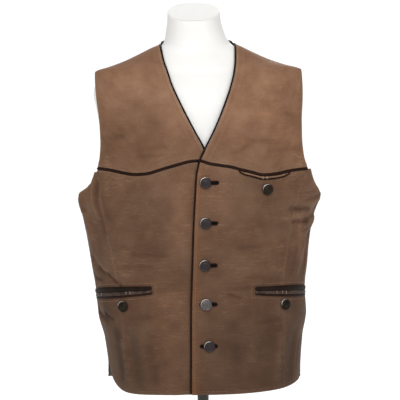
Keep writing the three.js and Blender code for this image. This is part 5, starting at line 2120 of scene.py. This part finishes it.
@dataclass
class Stitcher:
    """Rows of stitches, laid out by Geometry Nodes along lines on the leather."""

    pitch: float = 4.0
    length: float = 2.9
    thickness: float = 0.85
    flatness: float = 0.75

    def tree(self) -> bpy.types.NodeTree:
        """Builds the tree: a stitch at each step of a line, lying on the leather.

        Returns:
            The node group, with named inputs for its sizes.
        """
        tree = bpy.data.node_groups.new("stitch_rows", "GeometryNodeTree")
        face = tree.interface
        face.new_socket("Geometry", in_out="INPUT", socket_type="NodeSocketGeometry")
        for name in ("Pitch", "Stitch length", "Thread thickness"):
            face.new_socket(name, in_out="INPUT", socket_type="NodeSocketFloat")
        face.new_socket("Thread", in_out="INPUT", socket_type="NodeSocketMaterial")
        face.new_socket("Geometry", in_out="OUTPUT", socket_type="NodeSocketGeometry")

        add = partial(add_node, tree)
        given = add("NodeGroupInput").outputs
        line = add("GeometryNodeMeshToCurve", {"Mesh": given["Geometry"]})
        stepped = add("GeometryNodeResampleCurve", {"Curve": line, "Length": given["Pitch"]}, mode="LENGTH")
        outward = add("GeometryNodeInputNamedAttribute", {"Name": "outward"}, data_type="FLOAT_VECTOR")
        axes = {0: outward, 1: add("GeometryNodeInputTangent")}
        lie = add("FunctionNodeAxesToRotation", axes, primary_axis="Z", secondary_axis="X")
        ball = add("GeometryNodeMeshUVSphere", {"Segments": 8, "Rings": 5, "Radius": 0.5})
        smooth = add("GeometryNodeSetShadeSmooth", {"Geometry": ball})
        flat = add("ShaderNodeMath", {0: given["Thread thickness"], 1: self.flatness}, operation="MULTIPLY")
        sizes = {0: given["Stitch length"], 1: given["Thread thickness"], 2: flat}
        size = add("ShaderNodeCombineXYZ", sizes)
        stitch = add("GeometryNodeTransform", {"Geometry": smooth, "Scale": size})
        rows = {"Points": stepped, "Instance": stitch, "Rotation": lie}
        real = add("GeometryNodeRealizeInstances", {"Geometry": add("GeometryNodeInstanceOnPoints", rows)})
        dyed = add("GeometryNodeSetMaterial", {"Geometry": real, "Material": given["Thread"]})
        add("NodeGroupOutput", {"Geometry": dyed})
        return tree

    def sew(
        self,
        tree: bpy.types.NodeTree,
        name: str,
        lines: Sequence[StitchLine],
        thread: bpy.types.Material,
    ) -> bpy.types.Object:
        """Makes the stitches of some lines one plain piece.

        Args:
            tree: The stitch tree.
            name: Name of the piece.
            lines: Lines to sew along.
            thread: Material of the thread.

        Returns:
            The piece.
        """
        points = np.concatenate([line.points for line in lines])
        normals = np.concatenate([line.normals for line in lines])
        edges = []
        start = 0
        for line in lines:
            count = len(line.points)
            edges.extend([start + k, start + k + 1] for k in range(count - 1))
            start += count
        mesh = bpy.data.meshes.new(name)
        mesh.from_pydata((points * MM).tolist(), edges, [])
        outward = mesh.attributes.new("outward", "FLOAT_VECTOR", "POINT")
        outward.data.foreach_set("vector", normals.astype(np.float32).ravel())
        guide = bpy.data.objects.new(f"{name}_guide", mesh)
        bpy.context.scene.collection.objects.link(guide)
        modifier = guide.modifiers.new("stitches", "NODES")
        modifier.node_group = tree
        values = {
            "Pitch": self.pitch * MM,
            "Stitch length": self.length * MM,
            "Thread thickness": self.thickness * MM,
            "Thread": thread,
        }
        for item in tree.interface.items_tree:
            if item.in_out == "INPUT" and item.name in values:
                modifier[item.identifier] = values[item.name]
        sewn = evaluated_copy(guide)
        guide.modifiers.clear()
        bpy.data.objects.remove(guide)
        piece = bpy.data.objects.new(name, sewn)
        bpy.context.scene.collection.objects.link(piece)
        return piece


@dataclass
class Topstitching:
    """All rows of stitches on the vest."""

    finishes: Finishes
    stitcher: Stitcher = field(default_factory=Stitcher)

    def build(self, panels: Panels, pockets: Pockets) -> dict[str, list[bpy.types.Object]]:
        """Sews every row.

        Args:
            panels: The leather pieces with their stitch lines.
            pockets: The pockets with theirs.

        Returns:
            The pieces of stitching by the node that they lie on.
        """
        tree = self.stitcher.tree()
        made: dict[str, list[bpy.types.Object]] = {}
        for node, lines in panels.lines.items():
            threads = (
                (f"stitches_{node}", False, self.finishes.thread),
                (f"edge_stitches_{node}", True, self.finishes.edge_thread),
            )
            for name, on_edge, thread in threads:
                sewn = [line for line in lines if line.edge_thread is on_edge]
                if sewn:
                    piece = self.stitcher.sew(tree, name, sewn, thread)
                    made.setdefault(node, []).append(ride_for(piece, "vest_leather"))
        frames = self.stitcher.sew(tree, "stitches_pocket_frames", pockets.lines, self.finishes.thread)
        ride_for(frames, "vest_leather")
        tying = Stitcher(pitch=1.7, length=2.6, thickness=2.0)
        knots = tying.sew(tree, "knots_pocket_welts", pockets.knots, self.finishes.knot_thread)
        ride_for(knots, "vest_leather")
        return made


@dataclass
class FormAndStand:
    """White limbless form on its black pole, collar and round base."""

    finishes: Finishes
    sides: int = 112
    chest: float = 0.88
    inset: float = 0.6
    rim: float = 2.2

    def build(self) -> None:
        """Makes the form and the stand."""
        self.form()
        pole = POLE_DIAMETER / 2
        base = BASE_DIAMETER / 2
        collar = COLLAR_DIAMETER / 2
        foot = BASE_THICKNESS + CLEAR
        top = BASE_THICKNESS + COLLAR_HEIGHT
        pole_top = FORM_SECTIONS[0].z - CLEAR
        self.lathe(
            "steel_pole",
            "stand_pole",
            [(0.01, foot), (pole - 0.6, foot), (pole, foot + 0.6), (pole, pole_top - 0.6),
             (pole - 0.6, pole_top), (0.01, pole_top)],
        )
        self.lathe(
            "steel_collar",
            "stand_collar",
            [(pole + CLEAR, foot), (collar - 0.5, foot), (collar, foot + 0.5), (collar, foot + 9.5),
             (collar - 0.6, foot + 10.5), (collar - 5, top - 2.6), (collar - 5.6, top - 1), (collar - 7, top),
             (pole + CLEAR + 0.6, top), (pole + CLEAR, top - 0.6)],
            hollow=True,
        )
        self.lathe(
            "steel_base",
            "stand_base",
            [(0.01, 0), (base - 2.5, 0), (base - 0.7, 0.7), (base, 2.5), (base, 6.5), (base - 0.7, 8.3),
             (base - 2.5, BASE_THICKNESS), (0.01, BASE_THICKNESS)],
            sides=128,
        )

    def form(self) -> None:
        """Makes the form from its sections, with a rounded rim round the neck's slanted top."""
        columns = ("half", "front", "back", "side", "shift", "tilt")
        of = {name: Curve.of(FORM_SECTIONS, name) for name in columns}
        low, high = FORM_SECTIONS[0].z, FORM_SECTIONS[-1].z
        levels = np.concatenate([np.linspace(low, 300, 12)[:-1], np.linspace(300, high - self.rim, 190)])
        angle = np.arange(self.sides) * 2 * math.pi / self.sides
        s, c = np.sin(angle), np.cos(angle)

        def ring(z: float, shrink: float, drop: float) -> Array:
            """Points round the form at one height, moved in and down."""
            cap = 2.6 * bell(z - 812, 36)
            lean = -2.4 * bell(z - 850, 22)
            half = of["half"](z) - shrink - cap
            x = of["shift"](z) + lean + np.sign(s) * half * np.abs(s) ** self.chest
            depth = np.where(c > 0, of["front"](z), of["back"](z)) - shrink
            y = -np.sign(c) * depth * np.abs(c) ** of["side"](z)
            return np.stack([x, y, z + of["tilt"](z) * y - drop], axis=1)

        rings = [ring(z, self.inset, 0.0) for z in levels]
        for step in np.linspace(0, math.pi / 2, 7)[1:]:
            shrink = self.inset + self.rim * (1 - math.cos(step))
            rings.append(ring(high, shrink, self.rim * (1 - math.sin(step))))
        for shrink in (8.0, 20.0, 36.0, 50.0):
            rings.append(ring(high, self.inset + shrink, 0.0))
        stacked = np.array(rings)
        piece = mesh_piece("dress_form_shell", stacked, closed_rings(stacked), [self.finishes.shell])
        ride_for(piece, "form_shell", "dress_form")

    def lathe(
        self,
        name: str,
        node: str,
        profile: Sequence[tuple[float, float]],
        sides: int = 64,
        hollow: bool = False,
    ) -> None:
        """Makes a turned piece.

        Args:
            name: Name of the piece.
            node: Node that it stands for.
            profile: Radius and height of each point of its outline.
            sides: Number of sides.
            hollow: Whether the profile closes on itself.
        """
        angle = np.arange(sides) * 2 * math.pi / sides
        rings = np.array(
            [np.stack([r * np.cos(angle), r * np.sin(angle), np.full(sides, z)], axis=1) for r, z in profile]
        )
        piece = mesh_piece(name, rings, closed_rings(rings, hollow), [self.finishes.steel])
        bevelled = piece.modifiers.new("edges", "EDGE_SPLIT")
        bevelled.split_angle = math.radians(40)
        piece.data = evaluated_copy(piece)
        piece.modifiers.clear()
        ride_for(piece, "stand_metal", node)


class Light(NamedTuple):
    """Soft area light: where it stands, what it looks at, its sides and its power in watts."""

    name: str
    place: tuple[float, float, float]
    aim: tuple[float, float, float]
    width: float
    height: float
    power: float


@dataclass
class Studio:
    """Camera, floor and soft lights."""

    camera_distance: float = 2.128
    camera_height: float = 0.729
    lens_mm: float = 90.0
    pitch_degrees: float = 2.86
    roll_degrees: float = -0.9
    lights: tuple[Light, ...] = (
        Light("key_softbox", (-0.5, -2.5, 2.2), (0.0, 0.0, 0.7), 1.0, 0.8, 20),
        Light("fill_softbox", (1.3, -2.3, 1.7), (0.0, 0.0, 0.7), 0.9, 1.2, 9),
        Light("back_softbox", (0.3, 2.6, 2.1), (0.0, 0.0, 0.6), 1.2, 1.0, 12),
    )
    white: float = 1.08
    side_white: float = 0.32
    fade: tuple[float, float] = (0.35, 0.95)
    floor_radius: float = 30000.0

    def build(self) -> None:
        """Sets up the camera, the world, the lights and the floor."""
        scene = bpy.context.scene
        scene.view_settings.view_transform = "Standard"
        camera = bpy.data.cameras.new("camera")
        camera.lens = self.lens_mm
        camera.sensor_width = 36.0
        holder = bpy.data.objects.new("camera", camera)
        scene.collection.objects.link(holder)
        turn = Euler((math.radians(90 - self.pitch_degrees), 0.0, 0.0)).to_matrix()
        roll = Euler((0.0, 0.0, math.radians(self.roll_degrees))).to_matrix()
        holder.location = (0.0, -self.camera_distance, self.camera_height)
        holder.rotation_euler = (turn @ roll).to_euler()
        scene.camera = holder
        scene.world = self.white_room()
        for light in self.lights:
            self.light(light)
        self.floor()

    def white_room(self) -> bpy.types.World:
        """Makes a white room all round, dimmer to the left and the right, which models the sides."""
        world = bpy.data.worlds.new("studio_white")
        world.use_nodes = True
        world.node_tree.nodes.clear()
        add = partial(add_node, world.node_tree)
        direction = add("ShaderNodeTexCoord").outputs["Generated"]
        sideways = add("ShaderNodeSeparateXYZ", {0: direction}).outputs["X"]
        aside = add("ShaderNodeMath", {0: sideways}, operation="ABSOLUTE")
        fading = (aside, *self.fade, self.white, self.side_white)
        fade = add("ShaderNodeMapRange", dict(zip(RANGE, fading)), interpolation_type="SMOOTHSTEP")
        room = add("ShaderNodeBackground", {"Color": (1.0, 1.0, 1.0, 1.0), "Strength": fade})
        add("ShaderNodeOutputWorld", {"Surface": room})
        return world

    def light(self, light: Light) -> None:
        """Adds one area light."""
        lamp = bpy.data.lights.new(light.name, "AREA")
        lamp.shape = "RECTANGLE"
        lamp.size = light.width
        lamp.size_y = light.height
        lamp.energy = light.power
        holder = bpy.data.objects.new(light.name, lamp)
        bpy.context.scene.collection.objects.link(holder)
        holder.location = light.place
        aim = Vector(light.aim) - Vector(light.place)
        holder.rotation_euler = aim.to_track_quat("-Z", "Y").to_euler()

    def floor(self) -> None:
        """Lays a round white floor under the base."""
        angle = np.linspace(0, 2 * math.pi, 97)[:-1]
        ring = np.stack([np.cos(angle), np.sin(angle), np.zeros(96)], axis=1) * self.floor_radius
        piece = mesh_piece("studio_floor", ring, [list(range(96))], [StudioPaper().build()])


def main() -> None:
    """Builds the object piece by piece."""
    logging.basicConfig(level=logging.INFO, format="%(name)s: %(message)s")
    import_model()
    shape = VestShape()
    finishes = Finishes()
    FormAndStand(finishes).build()
    panels = Panels(shape, finishes)
    panels.cut()
    made = panels.build()
    Trim(shape, finishes).build()
    pockets = Pockets(shape, finishes)
    pockets.build()
    ButtonsAndHoles(shape, finishes).build()
    stitches = Topstitching(finishes).build(panels, pockets)
    panels.declare()
    Studio().build()


if __name__ == "__main__":
    main()
